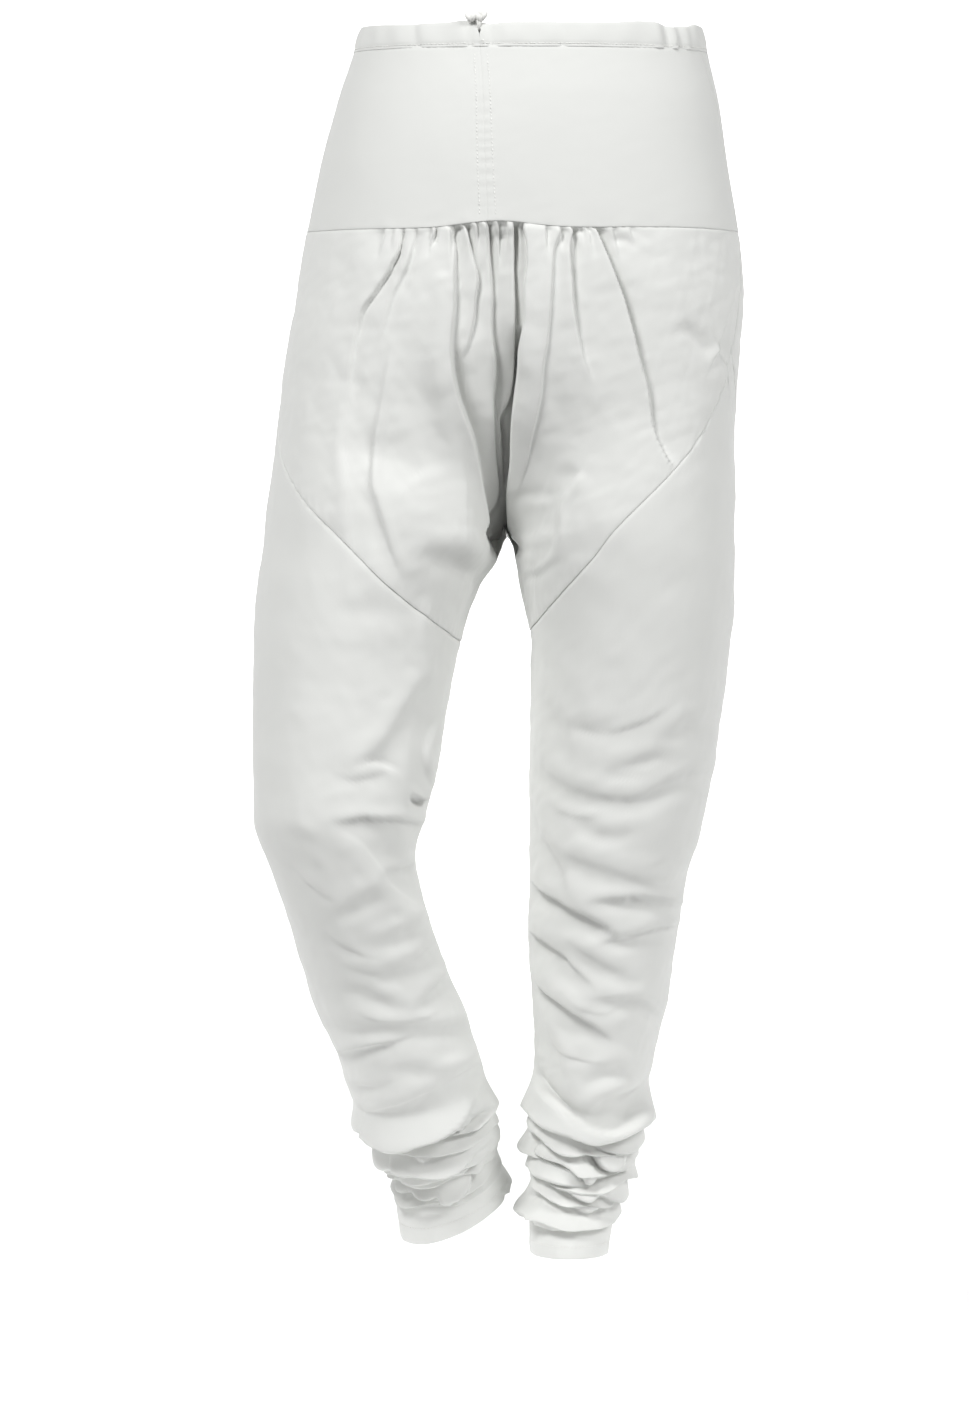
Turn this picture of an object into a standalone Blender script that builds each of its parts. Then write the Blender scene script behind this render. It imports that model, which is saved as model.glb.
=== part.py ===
"""Churidar trousers as they hang when worn: hollow cloth legs gathered into a deep waist yoke.

Metres, +Z up, the front towards -Y. The origin is the centre of the waist, half-way up the casing.
Every panel is a thin wall on one shared surface, which is worked out from the section tables below.
A place on it is a turn and a drop. The turn runs from 0 at the centre front (below the crotch, the
inseam) round the outside of one leg to 1 at the centre back. The drop is the depth below the waist.
Sections are in millimetres and degrees. "Left" and "right" are the wearer's, and left is +X.
"""

from collections import namedtuple
import math

import bmesh
import bpy
import numpy as np

MM = 0.001
WALL = 1.2
SEAM_GAP = 0.3

CASING_TOP = -10.0
YOKE_TOP = 10.0
YOKE_BOTTOM = 150.0
LEGS_START = 200.0
CROTCH = 384.0
FRONT_DIP = 8.5
FRONT_DIP_ENDS = 190.0
SEAM_REACH = 0.10
SIDE_SEAM_TURN = 0.5
CASING_SLIT = 2.0
PARTING_LAG = 1.6
FOLD_FADE = 0.3
FOLD_EDGE = 4.0
RELIEF_STARTS = 18.0
ROUND_HALF_THE_HIPS = 480.0
ROUND_THE_LEG = 520.0
SHARP_EDGE = 50.0

LEFT = 1
RIGHT = -1

# Level sections of the body of the trousers: half ovals front and back. facing is how far the centre
# front is turned towards the wearer's right, and full is 2 for an oval and more for squarer corners.
Hip = namedtuple("Hip", "drop centre half_width front back facing full")
HIPS = (
    Hip(-10, 1, 132, 92, 88, 18, 2.0),
    Hip(10, 0, 137, 96, 93, 16.5, 2.0),
    Hip(50, -2, 148, 104, 104, 13.5, 2.05),
    Hip(100, -5, 158, 110, 120, 11, 2.1),
    Hip(150, -6, 167, 113, 130, 9.3, 2.15),
    Hip(194, -8, 173, 115, 134, 8, 2.2),
    Hip(240, -13, 176, 114, 132, 6, 2.3),
    Hip(287, -18, 177, 112, 122, 4, 2.4),
    Hip(333, -22, 179, 108, 110, 1, 2.5),
    Hip(384, -24, 182, 104, 102, -2, 2.6),
)

# Sections of each leg: the x of its inner and outer side and the y of its front and back. roll lifts
# the wearer's left end and pitch lowers the front.
Leg = namedtuple("Leg", "drop inner outer front back roll pitch")
LEFT_LEG = (
    Leg(150, -18, 161, -113, 112, 0, 0),
    Leg(384, -18, 158, -104, 98, 0, 0),
    Leg(403, -12, 158, -102, 94, 0, 0),
    Leg(426, -8, 158, -99, 91, 0, 0),
    Leg(473, 0, 154, -93, 84, 0, 0),
    Leg(519, 0, 148, -88, 78, 0, 0),
    Leg(566, -1, 141, -82, 71, 0, 0),
    Leg(612, -1, 132, -76, 65, 0, 0),
    Leg(647, -1, 121, -71, 64, 0, 1),
    Leg(694, -2, 114, -60, 68, 0, 2),
    Leg(740, 0, 107, -51, 70, 0, 3),
    Leg(775, 3, 99, -42, 68, 0, 4),
    Leg(805, 2, 92, -34, 65, 0, 6),
    Leg(840, -1, 86, -27, 62, 0, 8),
    Leg(875, 1, 77, -22, 62, 0, 7),
    Leg(905, -2, 67, -18, 64, 0, 4),
    Leg(942, 0, 61, -14, 68, 0, 2),
)
RIGHT_LEG = (
    Leg(150, -18, -173, -113, 112, 0, 0),
    Leg(384, -18, -206, -108, 96, 0, 0),
    Leg(403, -26, -208, -108, 90, 0, 0),
    Leg(426, -41, -211, -108, 83, 0, 0),
    Leg(473, -56, -214, -110, 66, 0, 0),
    Leg(519, -64, -214, -114, 50, 0, 0),
    Leg(566, -72, -213, -120, 30, 0, 0),
    Leg(601, -81, -212, -124, 18, 2, 0),
    Leg(635, -88, -200, -118, 16, 5, 2),
    Leg(682, -79, -183, -104, 22, 8, 6),
    Leg(728, -64, -170, -86, 34, 9, 9),
    Leg(775, -46, -150, -68, 46, 9, 13),
    Leg(810, -36, -139, -52, 56, 9, 16),
    Leg(845, -28, -122, -34, 66, 10, 17),
    Leg(872, -26, -107, -16, 74, 12, 19),
    Leg(890, -21, -105, -6, 82, 18, 22),
    Leg(909, -14, -103, 2, 88, 25, 25),
)
LEGS = {LEFT: LEFT_LEG, RIGHT: RIGHT_LEG}

# The slanting seam between an upper panel and the leg. It peaks at the side seam.
Slant = namedtuple("Slant", "peak_turn peak_drop inseam_drop rise")
SLANTS = {LEFT: Slant(0.415, 243, 458, 1.88), RIGHT: Slant(0.54, 243, 466, 1.88)}

# Creases as seen from the front or the back: a path of (x, drop), sunk by depth (a ridge where it is
# negative) with a soft half-width on each side of it. Steep paths run down and level ones towards +X.
Crease = namedtuple("Crease", "depth before after path")
FRONT_CREASES = (
    Crease(9, 22, 16, ((-26, 160), (-28, 230), (-24, 300), (-19, 370), (-18, 392))),
    Crease(4, 10, 6, ((-99, 162), (-108, 190), (-128, 218), (-136, 250), (-139, 345), (-135, 420))),
    Crease(4, 9, 6, ((-89, 162), (-105, 206), (-120, 262), (-121, 345), (-103, 400), (-94, 422))),
    Crease(5, 10, 7, ((-61, 156), (-60, 215), (-61, 265), (-46, 315), (-28, 388))),
    Crease(3, 6, 5, ((-53, 158), (-44, 190), (-44, 226), (-51, 244))),
    Crease(8, 6, 5, ((-14, 158), (-14, 230), (-11, 256), (-19, 315), (-20, 360))),
    Crease(-5, 9, 9, ((-1, 165), (1, 210), (-3, 255), (-9, 315), (-14, 360))),
    Crease(5, 5, 8, ((21, 160), (16, 186), (13, 243), (7, 287), (-5, 343), (-10, 362))),
    Crease(3.5, 6, 7, ((29, 159), (32, 215), (41, 256), (51, 300))),
    Crease(5.5, 8, 6, ((48, 160), (69, 210), (77, 237), (88, 277), (93, 306), (102, 328))),
    Crease(3, 8, 8, ((60, 162), (74, 190), (90, 220))),
    Crease(2, 9, 9, ((-139, 437), (-112, 437))),
    Crease(3, 7, 7, ((-66, 401), (-46, 409), (-35, 406))),
    Crease(-3, 8, 8, ((-65, 424), (-74, 450), (-83, 477), (-89, 508), (-94, 545))),
    Crease(3, 7, 6, ((-72, 486), (-95, 520), (-110, 542), (-127, 561))),
    Crease(4, 8, 8, ((-65, 518), (-74, 535), (-82, 552), (-76, 578))),
    Crease(4, 8, 7, ((-148, 605), (-110, 601), (-80, 605))),
    Crease(-3, 8, 8, ((-148, 592), (-100, 596))),
    Crease(-3, 9, 9, ((-146, 610), (-127, 622), (-114, 638), (-95, 660), (-82, 669))),
    Crease(3, 7, 7, ((-146, 672), (-118, 658))),
    Crease(4, 8, 7, ((-108, 692), (-86, 683), (-76, 676))),
    Crease(4, 9, 7, ((-136, 717), (-115, 719), (-93, 712), (-74, 697))),
    Crease(3, 8, 8, ((-142, 730), (-126, 733), (-93, 750))),
    Crease(3, 7, 7, ((-83, 742), (-65, 722))),
    Crease(4, 9, 8, ((-143, 759), (-107, 761), (-50, 759))),
    Crease(3, 8, 8, ((-143, 780), (-117, 776), (-98, 773))),
    Crease(4, 9, 7, ((-117, 825), (-86, 815), (-51, 797), (-37, 790))),
    Crease(2, 6, 6, ((32, 346), (20, 365), (17, 389), (-7, 420))),
    Crease(3, 8, 8, ((25, 527), (41, 528), (62, 527))),
    Crease(4, 8, 8, ((108, 535), (123, 527), (143, 524))),
    Crease(3, 8, 8, ((61, 564), (88, 556), (111, 554))),
    Crease(5, 10, 8, ((14, 569), (37, 581), (57, 586), (85, 586), (108, 572), (133, 567))),
    Crease(4.5, 8, 7, ((46, 611), (80, 611), (101, 600))),
    Crease(-3.5, 9, 9, ((18, 610), (39, 623), (66, 630))),
    Crease(5, 9, 8, ((26, 629), (54, 639), (85, 649), (116, 646))),
    Crease(3, 7, 7, ((5, 624), (18, 642), (24, 649))),
    Crease(6, 8, 7, ((1, 654), (21, 671), (42, 680), (62, 687))),
    Crease(4.5, 7, 7, ((49, 666), (82, 665), (117, 669))),
    Crease(5, 8, 7, ((58, 696), (82, 691), (111, 685))),
    Crease(4, 7, 7, ((1, 693), (16, 701), (27, 714), (45, 728))),
    Crease(3.5, 7, 7, ((26, 695), (49, 711), (77, 723))),
    Crease(5, 7, 7, ((2, 725), (7, 736), (25, 748), (42, 758), (58, 769))),
    Crease(3.5, 7, 7, ((47, 742), (87, 743), (96, 752))),
    Crease(4, 7, 7, ((4, 755), (11, 773), (23, 789), (14, 802))),
    Crease(4, 7, 7, ((42, 797), (68, 793), (88, 800))),
)
BACK_CREASES = (
    Crease(9, 20, 20, ((35, 165), (20, 240), (0, 320), (-18, 392))),
    Crease(4, 9, 7, ((-48, 162), (-60, 200), (-82, 250), (-96, 310), (-100, 372))),
    Crease(5, 8, 7, ((-20, 160), (-24, 215), (-34, 270), (-38, 330))),
    Crease(4, 7, 9, ((66, 160), (70, 214), (80, 262), (84, 330))),
    Crease(4.5, 8, 7, ((90, 162), (103, 206), (118, 258), (124, 322))),
    Crease(-4, 10, 10, ((50, 166), (48, 230), (36, 300))),
    Crease(5, 9, 8, ((-170, 412), (-128, 402), (-84, 412), (-50, 404))),
    Crease(4, 9, 8, ((18, 418), (60, 408), (108, 418), (136, 410))),
    Crease(5, 9, 8, ((-190, 560), (-150, 570), (-110, 562))),
    Crease(6, 9, 8, ((-196, 596), (-154, 608), (-108, 594))),
    Crease(5, 8, 8, ((-186, 632), (-140, 640), (-98, 626))),
    Crease(4, 8, 8, ((-166, 700), (-120, 712), (-82, 702))),
    Crease(5, 8, 8, ((-150, 762), (-106, 772), (-66, 756))),
    Crease(5, 9, 8, ((12, 560), (60, 574), (112, 562))),
    Crease(6, 9, 8, ((8, 604), (60, 618), (118, 602))),
    Crease(5, 8, 8, ((10, 648), (58, 662), (104, 650))),
    Crease(5, 8, 8, ((14, 708), (56, 722), (100, 706))),
    Crease(4, 8, 8, ((16, 764), (56, 776), (92, 760))),
)

# Gathers below the yoke seam: where each sinks, and how long and deep it is.
Gather = namedtuple("Gather", "x length depth lean")
FRONT_GATHERS = (
    Gather(-122, 26, 1.2, -6),
    Gather(-111, 34, 1.6, -8),
    Gather(-78, 30, 2.2, -5),
    Gather(-70, 44, 2.4, 2),
    Gather(-36, 46, 2.6, 2),
    Gather(-26, 60, 2.4, 1),
    Gather(-5, 30, 2.2, 0),
    Gather(9, 42, 2.4, 1),
    Gather(38, 34, 2.6, 5),
    Gather(68, 28, 1.6, 7),
)
BACK_GATHERS = (
    Gather(-66, 28, 1.6, -6),
    Gather(-36, 40, 2.2, -4),
    Gather(-8, 44, 2.4, -1),
    Gather(10, 36, 2.4, 0),
    Gather(24, 50, 2.6, 1),
    Gather(54, 40, 2.4, 2),
    Gather(78, 32, 2.0, 5),
    Gather(104, 26, 1.4, 8),
)
GATHER_WIDTH = 4.5

# The bangles of cloth stacked over each ankle. The four sides give the drop of a bangle's lower edge
# there, and then how far the cloth rolls out above that edge. The first row is the top of the stack.
Bangle = namedtuple("Bangle", "inner front outer back out_inner out_front out_outer out_back")
BANGLES = {
    LEFT: (
        Bangle(800, 824, 806, 812, 0, 0, 0, 0),
        Bangle(828, 842, 834, 836, 9, 6, 9, 6),
        Bangle(841, 856, 851, 850, 3, 5, 5, 6),
        Bangle(857, 870, 865, 864, 10, 6, 4, 6),
        Bangle(874, 883, 880, 879, 5, 6, 7, 6),
        Bangle(885, 898, 895, 893, 0, 5, 5, 6),
        Bangle(907, 916, 911, 909, 12, 5, 4, 6),
    ),
    RIGHT: (
        Bangle(812, 812, 812, 812, 0, 0, 0, 0),
        Bangle(834, 833, 830, 830, 8, 6, 5, 6),
        Bangle(847, 843, 843, 845, 4, 5, 4, 6),
        Bangle(859, 859, 857, 858, 4, 6, 4, 6),
        Bangle(870, 869, 866, 869, 1, 5, 4, 5),
        Bangle(879, 881, 873, 879, 1, 5, 4, 5),
        Bangle(887, 888, 882, 888, 1, 3, 4, 4),
    ),
}
BANGLE_CREST = 1.6
BANGLE_SAG = 0.25

# Grid densities: columns of a leg before and behind its side, and columns of a panel for each of them.
LEG_COLUMNS = {LEFT: (10, 14), RIGHT: (13, 11)}
FRONT_COLUMNS = {LEFT: 4, RIGHT: 3}
BACK_COLUMNS = 2
FRONT_ROWS = 13
BACK_ROWS = 9
THIGH_ROWS = 22
THIGH_ROWS_SINK = 0.78
PANEL_ROWS_SINK = 1.15
PANEL_CROWDING = 0.55
BANGLE_ROWS = (0.36, 0.74, 1.0)
ANKLE_ROWS = 2
YOKE_COLUMNS = 13
YOKE_ROWS = 3

CLOTH_COLOUR = (0.83, 0.84, 0.82)
CORD_COLOUR = (0.88, 0.88, 0.86)


def smooth(share):
    """0 to 1 with no corner at either end."""
    share = np.clip(share, 0.0, 1.0)
    return share * share * (3.0 - 2.0 * share)


def follow(rows, name, drop):
    """One column of a section table as a smooth curve that never swings past its rows."""
    drops = np.array([row.drop for row in rows], float)
    values = np.array([getattr(row, name) for row in rows], float)
    rises = np.diff(values) / np.diff(drops)
    above, below = rises[:-1], rises[1:]
    alike = above * below > 0
    between = np.where(alike, 2 * above * below / np.where(alike, above + below, 1), 0)
    slopes = np.concatenate([rises[:1], between, rises[-1:]])
    drop = np.clip(drop, drops[0], drops[-1])
    i = np.clip(np.searchsorted(drops, drop) - 1, 0, len(rows) - 2)
    step = drops[i + 1] - drops[i]
    s = (drop - drops[i]) / step
    return (
        values[i] * (1 + 2 * s) * (1 - s) ** 2
        + slopes[i] * step * s * (1 - s) ** 2
        + values[i + 1] * s**2 * (3 - 2 * s)
        + slopes[i + 1] * step * s**2 * (s - 1)
    )


def around(inner, front, outer, back, turn):
    """A value round the leg that passes through its four sides."""
    angle = 2 * math.pi * turn
    return (
        (inner + front + outer + back) / 4
        + (inner - outer) / 2 * np.cos(angle)
        + (front - back) / 2 * np.sin(angle)
        + (inner + outer - front - back) / 4 * np.cos(2 * angle)
    )


def hip_points(side, turn, drop):
    level = np.minimum(drop, CROTCH)
    angle = side * math.pi * turn - np.radians(follow(HIPS, "facing", level))
    full = follow(HIPS, "full", level)
    reach = (np.abs(np.sin(angle)) ** full + np.abs(np.cos(angle)) ** full) ** (-1 / full)
    ahead = np.cos(angle) * reach
    depth = np.where(ahead > 0, follow(HIPS, "front", level), follow(HIPS, "back", level))
    x = follow(HIPS, "centre", level) + follow(HIPS, "half_width", level) * np.sin(angle) * reach
    dip = FRONT_DIP * np.clip(ahead, 0, 1) * np.clip(1 - drop / FRONT_DIP_ENDS, 0, None)
    return np.stack([x, -depth * ahead, -drop - dip], axis=-1)


def leg_points(side, turn, drop):
    rows = LEGS[side]
    angle = 2 * math.pi * turn
    inner, outer = follow(rows, "inner", drop), follow(rows, "outer", drop)
    front, back = follow(rows, "front", drop), follow(rows, "back", drop)
    across = (inner - outer) / 2 * np.cos(angle)
    along = (front - back) / 2 * np.sin(angle)
    tilt = across * np.sin(np.radians(follow(rows, "roll", drop)))
    tilt += along * np.sin(np.radians(follow(rows, "pitch", drop)))
    return np.stack([(inner + outer) / 2 + across, (front + back) / 2 + along, tilt - drop], axis=-1)


def near_seam(turn):
    """1 on the centre seams and the inseam, fading to 0 round the leg."""
    return np.exp(-((np.minimum(np.abs(turn), np.abs(1 - turn)) / SEAM_REACH) ** 2))


def plain_points(side, turn, drop):
    """The surface without its creases: the hips part into two legs, in a U from front to back."""
    share = np.clip((drop - LEGS_START) / (CROTCH - LEGS_START), 0, 1)
    near = near_seam(turn)
    parted = near * (1 - np.sqrt(1 - share**2)) + (1 - near) * smooth(share) ** PARTING_LAG
    parted = parted[..., None]
    return (1 - parted) * hip_points(side, turn, drop) + parted * leg_points(side, turn, drop)


def outward(points_of, side, turn, drop):
    """Unit normals of a surface, pointing out of the trousers."""
    turn_step, drop_step = 0.002, 1.0
    across = points_of(side, turn + turn_step, drop) - points_of(side, turn - turn_step, drop)
    down = points_of(side, turn, drop + drop_step) - points_of(side, turn, drop - drop_step)
    normal = -side * np.cross(across, down)
    return normal / np.linalg.norm(normal, axis=-1, keepdims=True)


def sunk(x, drop, crease):
    """How much of a crease's depth each point has."""
    path = np.array(crease.path, float)
    ends = np.abs(path[-1] - path[0])
    steep = ends[1] > ends[0]
    lengths = np.linalg.norm(np.diff(path, axis=0), axis=1)
    total = lengths.sum()
    nearest = np.full(x.shape, np.inf)
    side_of = np.zeros(x.shape)
    reached = np.zeros(x.shape)
    start = 0.0
    for (ax, ad), (bx, bd), length in zip(path[:-1], path[1:], lengths):
        ux, ud = (bx - ax) / length, (bd - ad) / length
        along = np.clip((x - ax) * ux + (drop - ad) * ud, 0, length)
        dx, dd = x - ax - along * ux, drop - ad - along * ud
        away = np.hypot(dx, dd)
        nearer = away < nearest
        nearest = np.where(nearer, away, nearest)
        turned = ux * dd - ud * dx
        side_of = np.where(nearer, -turned if steep else turned, side_of)
        reached = np.where(nearer, start + along, reached)
        start += length
    fade = FOLD_FADE * total
    ends_fade = smooth((reached + FOLD_EDGE) / fade) * smooth((total - reached + FOLD_EDGE) / fade)
    width = np.where(side_of > 0, crease.after, crease.before)
    return np.exp(-((nearest / width) ** 2)) * ends_fade


def gathered(x, drop, gather):
    """How much of a gather's depth each point has: none at the yoke seam, most just below it."""
    below = np.clip((drop - YOKE_BOTTOM) / gather.length, 0, None)
    centre = gather.x + gather.lean * below
    swell = smooth(below / 0.25) * (1 - smooth((below - 0.25) / 0.75))
    return swell * np.exp(-(((x - centre) / GATHER_WIDTH) ** 2))


def relief(points, normals):
    """How far the creases and gathers push each point out."""
    x, drop = points[..., 0], -points[..., 2]
    facing = -normals[..., 1]
    out = np.zeros(x.shape)
    for creases, gathers, seen in (
        (FRONT_CREASES, FRONT_GATHERS, smooth(facing / 0.5 + 0.15)),
        (BACK_CREASES, BACK_GATHERS, smooth(-facing / 0.5 + 0.15)),
    ):
        for crease in creases:
            out -= seen * crease.depth * sunk(x, drop, crease)
        for gather in gathers:
            out -= seen * gather.depth * gathered(x, drop, gather)
    return out * smooth((drop - YOKE_BOTTOM) / RELIEF_STARTS)


def bangle_edges(side, turn):
    return [around(b.inner, b.front, b.outer, b.back, turn) for b in BANGLES[side]]


def stacked(side, turn, drop):
    """How far the bangles over the ankle roll each point out."""
    edges = bangle_edges(side, turn)
    out = np.zeros(np.shape(drop))
    for upper, lower, b in zip(edges[:-1], edges[1:], BANGLES[side][1:]):
        share = np.clip((drop - upper) / (lower - upper), 0, 1)
        height = around(b.out_inner, b.out_front, b.out_outer, b.out_back, turn)
        out += height * np.sin(math.pi * share**BANGLE_CREST)
    return out


def cloth_points(side, turn, drop):
    """The outer face of the cloth, with its creases and bangles, in millimetres."""
    points = plain_points(side, turn, drop)
    normals = outward(plain_points, side, turn, drop)
    # Both sides sink alike along the centre seams, so that neither crosses the other.
    level = (near_seam(turn) * smooth((CROTCH - drop) / 20 + 1))[..., None]
    normals = (1 - level) * normals + level * outward(hip_points, side, turn, drop)
    rolled = stacked(side, turn, drop)
    points = points + normals * (relief(points, normals) + rolled)[..., None]
    points[..., 2] -= BANGLE_SAG * rolled
    return points


def slant_drop(side, turn):
    """The drop of the slanting seam at each turn."""
    seam = SLANTS[side]
    front = turn / seam.peak_turn
    back = (1 - turn) / (1 - seam.peak_turn)
    share = np.clip(np.minimum(front, back), 0, 1)
    return seam.peak_drop + (seam.inseam_drop - seam.peak_drop) * (1 - share**seam.rise)


def slant_gap(side, turn):
    """Half the gap of the slanting seam, measured down the cloth."""
    step = 0.005
    rise = (slant_drop(side, turn + step) - slant_drop(side, turn - step)) / (2 * step)
    return SEAM_GAP / 2 * np.hypot(1, rise / ROUND_THE_LEG)


def leg_turns(side):
    before, behind = LEG_COLUMNS[side]
    peak = SLANTS[side].peak_turn
    return np.concatenate([np.linspace(0, peak, before + 1), np.linspace(peak, 1, behind + 1)[1:]])


def stretched(values, times):
    """The values again, with this many steps between each pair."""
    places = np.linspace(0, len(values) - 1, (len(values) - 1) * times + 1)
    return np.interp(places, np.arange(len(values)), values)


def clear_of_middle(side, points):
    """Each side's cloth keeps off the middle by half a seam gap."""
    points = points.copy()
    points[..., 0] += side * SEAM_GAP / 2
    return points


def wall(name, material, outer, normals, closed=False):
    """A sheet of cloth with a thickness: a grid laid on its outer points, extruded inwards."""
    rows, columns = outer.shape[:2]
    mesh = bmesh.new()
    bmesh.ops.create_grid(mesh, x_segments=columns - 1, y_segments=rows - 1, size=0.5)
    place = mesh.verts.layers.int.new("place")
    for vert in mesh.verts:
        column = round((vert.co.x + 0.5) * (columns - 1))
        row = round((0.5 - vert.co.y) * (rows - 1))
        vert[place] = row * columns + column
        vert.co = outer[row, column] * MM
    if closed:
        bmesh.ops.remove_doubles(mesh, verts=mesh.verts, dist=1e-6)
    sheet = list(mesh.faces)
    made = bmesh.ops.extrude_face_region(mesh, geom=sheet)["geom"]
    for vert in made:
        if isinstance(vert, bmesh.types.BMVert):
            row, column = divmod(vert[place], columns)
            vert.co = (outer[row, column] - normals[row, column] * WALL) * MM
    bmesh.ops.recalc_face_normals(mesh, faces=mesh.faces)
    data = bpy.data.meshes.new(name)
    mesh.to_mesh(data)
    mesh.free()
    data.shade_smooth()
    data.set_sharp_from_angle(angle=math.radians(SHARP_EDGE))
    data.materials.append(material)
    return bpy.data.objects.new(name, data)


def panel(name, material, side, turns, drops, closed=False, settle=None):
    """A wall over a grid of turns and drops."""
    turns, drops = np.broadcast_arrays(turns, drops)
    outer = clear_of_middle(side, cloth_points(side, turns, drops))
    normals = outward(cloth_points, side, turns, drops)
    if settle:
        settle(outer, normals)
    if closed:
        outer[:, -1] = outer[:, 0]
        normals[:, -1] = normals[:, 0]
    return wall(name, material, outer, normals, closed)


def trimmed(turns, first, last):
    """Turns with the two ends drawn in for the seam gaps, given in millimetres round the cloth."""
    turns = turns.copy()
    turns[..., 0] += first / ROUND_HALF_THE_HIPS
    turns[..., -1] -= last / ROUND_HALF_THE_HIPS
    return turns


def both_sides(turns, drops):
    """Outer points and normals of a band of cloth over both sides, joined at the centre back."""
    turns, drops = np.broadcast_arrays(turns, drops)
    joined = []
    for left, right in (
        (cloth_points(LEFT, turns, drops), cloth_points(RIGHT, turns, drops)),
        (outward(cloth_points, LEFT, turns, drops), outward(cloth_points, RIGHT, turns, drops)),
    ):
        joined.append(np.concatenate([left, right[:, -2::-1]], axis=1))
    return joined


def waist_parts(material):
    """The casing with its slit, the two front yokes and the back yoke."""
    half = SEAM_GAP / 2
    casing_drops = np.array([[CASING_TOP], [YOKE_TOP - half]])
    yoke_drops = np.linspace(YOKE_TOP + half, YOKE_BOTTOM - half, YOKE_ROWS + 1)[:, None]
    all_round = trimmed(np.linspace(0, 1, 2 * YOKE_COLUMNS + 1), CASING_SLIT / 2, 0)
    ahead = trimmed(np.linspace(0, SIDE_SEAM_TURN, YOKE_COLUMNS + 1), 0, half)
    behind = trimmed(np.linspace(SIDE_SEAM_TURN, 1, YOKE_COLUMNS + 1), half, 0)
    return [
        wall("waist_casing", material, *both_sides(all_round, casing_drops)),
        panel("yoke_front_right", material, RIGHT, ahead, yoke_drops),
        panel("yoke_front_left", material, LEFT, ahead, yoke_drops),
        wall("yoke_back", material, *both_sides(behind, yoke_drops)),
    ]


def upper_panel(name, material, side, front):
    """A gathered panel from the yoke seam to the slanting seam, between the centre and the side seam."""
    half = SEAM_GAP / 2
    before, _ = LEG_COLUMNS[side]
    seam = leg_turns(side)
    seam = seam[: before + 1] if front else seam[before:]
    times = FRONT_COLUMNS[side] if front else BACK_COLUMNS
    bottom = stretched(seam, times)
    even = np.linspace(0, 1, len(bottom))
    crowded = SIDE_SEAM_TURN * ((1 - PANEL_CROWDING) * even + PANEL_CROWDING * even**2)
    top = crowded if front else 1 - crowded[::-1]
    share = np.linspace(0, 1, (FRONT_ROWS if front else BACK_ROWS) + 1)[:, None] ** PANEL_ROWS_SINK
    turns = trimmed(top * (1 - share) + bottom * share, half, half)
    lowest = stretched(slant_drop(side, seam), times) - stretched(slant_gap(side, seam), times)
    drops = (YOKE_BOTTOM + half) * (1 - share) + lowest * share

    def settle(outer, normals):
        """Lays the lower edge on the straight steps of the leg's upper edge."""
        for values in (outer, normals):
            for axis in range(3):
                values[-1, :, axis] = stretched(values[-1, ::times, axis], times)

    return panel(name, material, side, turns, drops, settle=settle)


def leg(name, material, side):
    """A leg from the slanting seam down over the stacked bangles to the hem."""
    turns = leg_turns(side)
    start = slant_drop(side, turns) + slant_gap(side, turns)
    edges = bangle_edges(side, turns)
    hem = LEGS[side][-1].drop
    share = np.linspace(0, 1, THIGH_ROWS + 1)[:, None] ** THIGH_ROWS_SINK
    drops = [start * (1 - share) + edges[0] * share]
    for upper, lower in zip(edges[:-1], edges[1:]):
        drops += [(upper * (1 - s) + lower * s)[None] for s in BANGLE_ROWS]
    share = np.linspace(0, 1, ANKLE_ROWS + 1)[1:, None]
    drops.append(edges[-1] * (1 - share) + hem * share)
    return panel(name, material, side, turns[None], np.concatenate(drops), closed=True)


def knot(name, material):
    """The small knot of the drawstring, on top of the slit of the casing."""
    seat = cloth_points(LEFT, np.array([0.0]), np.array([CASING_TOP]))[0]
    width, depth, height = 17.0, 7.0, 9.0
    mesh = bmesh.new()
    bmesh.ops.create_uvsphere(mesh, u_segments=14, v_segments=8, radius=1)
    for vert in mesh.verts:
        x, y, z = vert.co
        lump = 1 + 0.14 * math.sin(5 * x + 1) * math.cos(4 * z + 0.5) + 0.08 * math.sin(7 * z + 3 * x)
        lump *= 1 - 0.28 * math.exp(-((x - 0.15) ** 2) / 0.03)
        vert.co = (x * width / 2 * lump, y * depth / 2 * lump, z * height / 2 * lump)
    lowest = min(vert.co.z for vert in mesh.verts)
    for vert in mesh.verts:
        vert.co.x = (seat[0] + vert.co.x - 1.5) * MM
        vert.co.y = (seat[1] + vert.co.y + 0.4) * MM
        vert.co.z = (seat[2] + vert.co.z - lowest + SEAM_GAP) * MM
    data = bpy.data.meshes.new(name)
    mesh.to_mesh(data)
    mesh.free()
    data.shade_smooth()
    data.materials.append(material)
    return bpy.data.objects.new(name, data)


def cloth_material(name, colour, roughness):
    material = bpy.data.materials.new(name)
    material.use_nodes = True
    shader = material.node_tree.nodes["Principled BSDF"]
    shader.inputs["Base Color"].default_value = (*colour, 1)
    shader.inputs["Roughness"].default_value = roughness
    shader.inputs["Metallic"].default_value = 0
    return material


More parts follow.
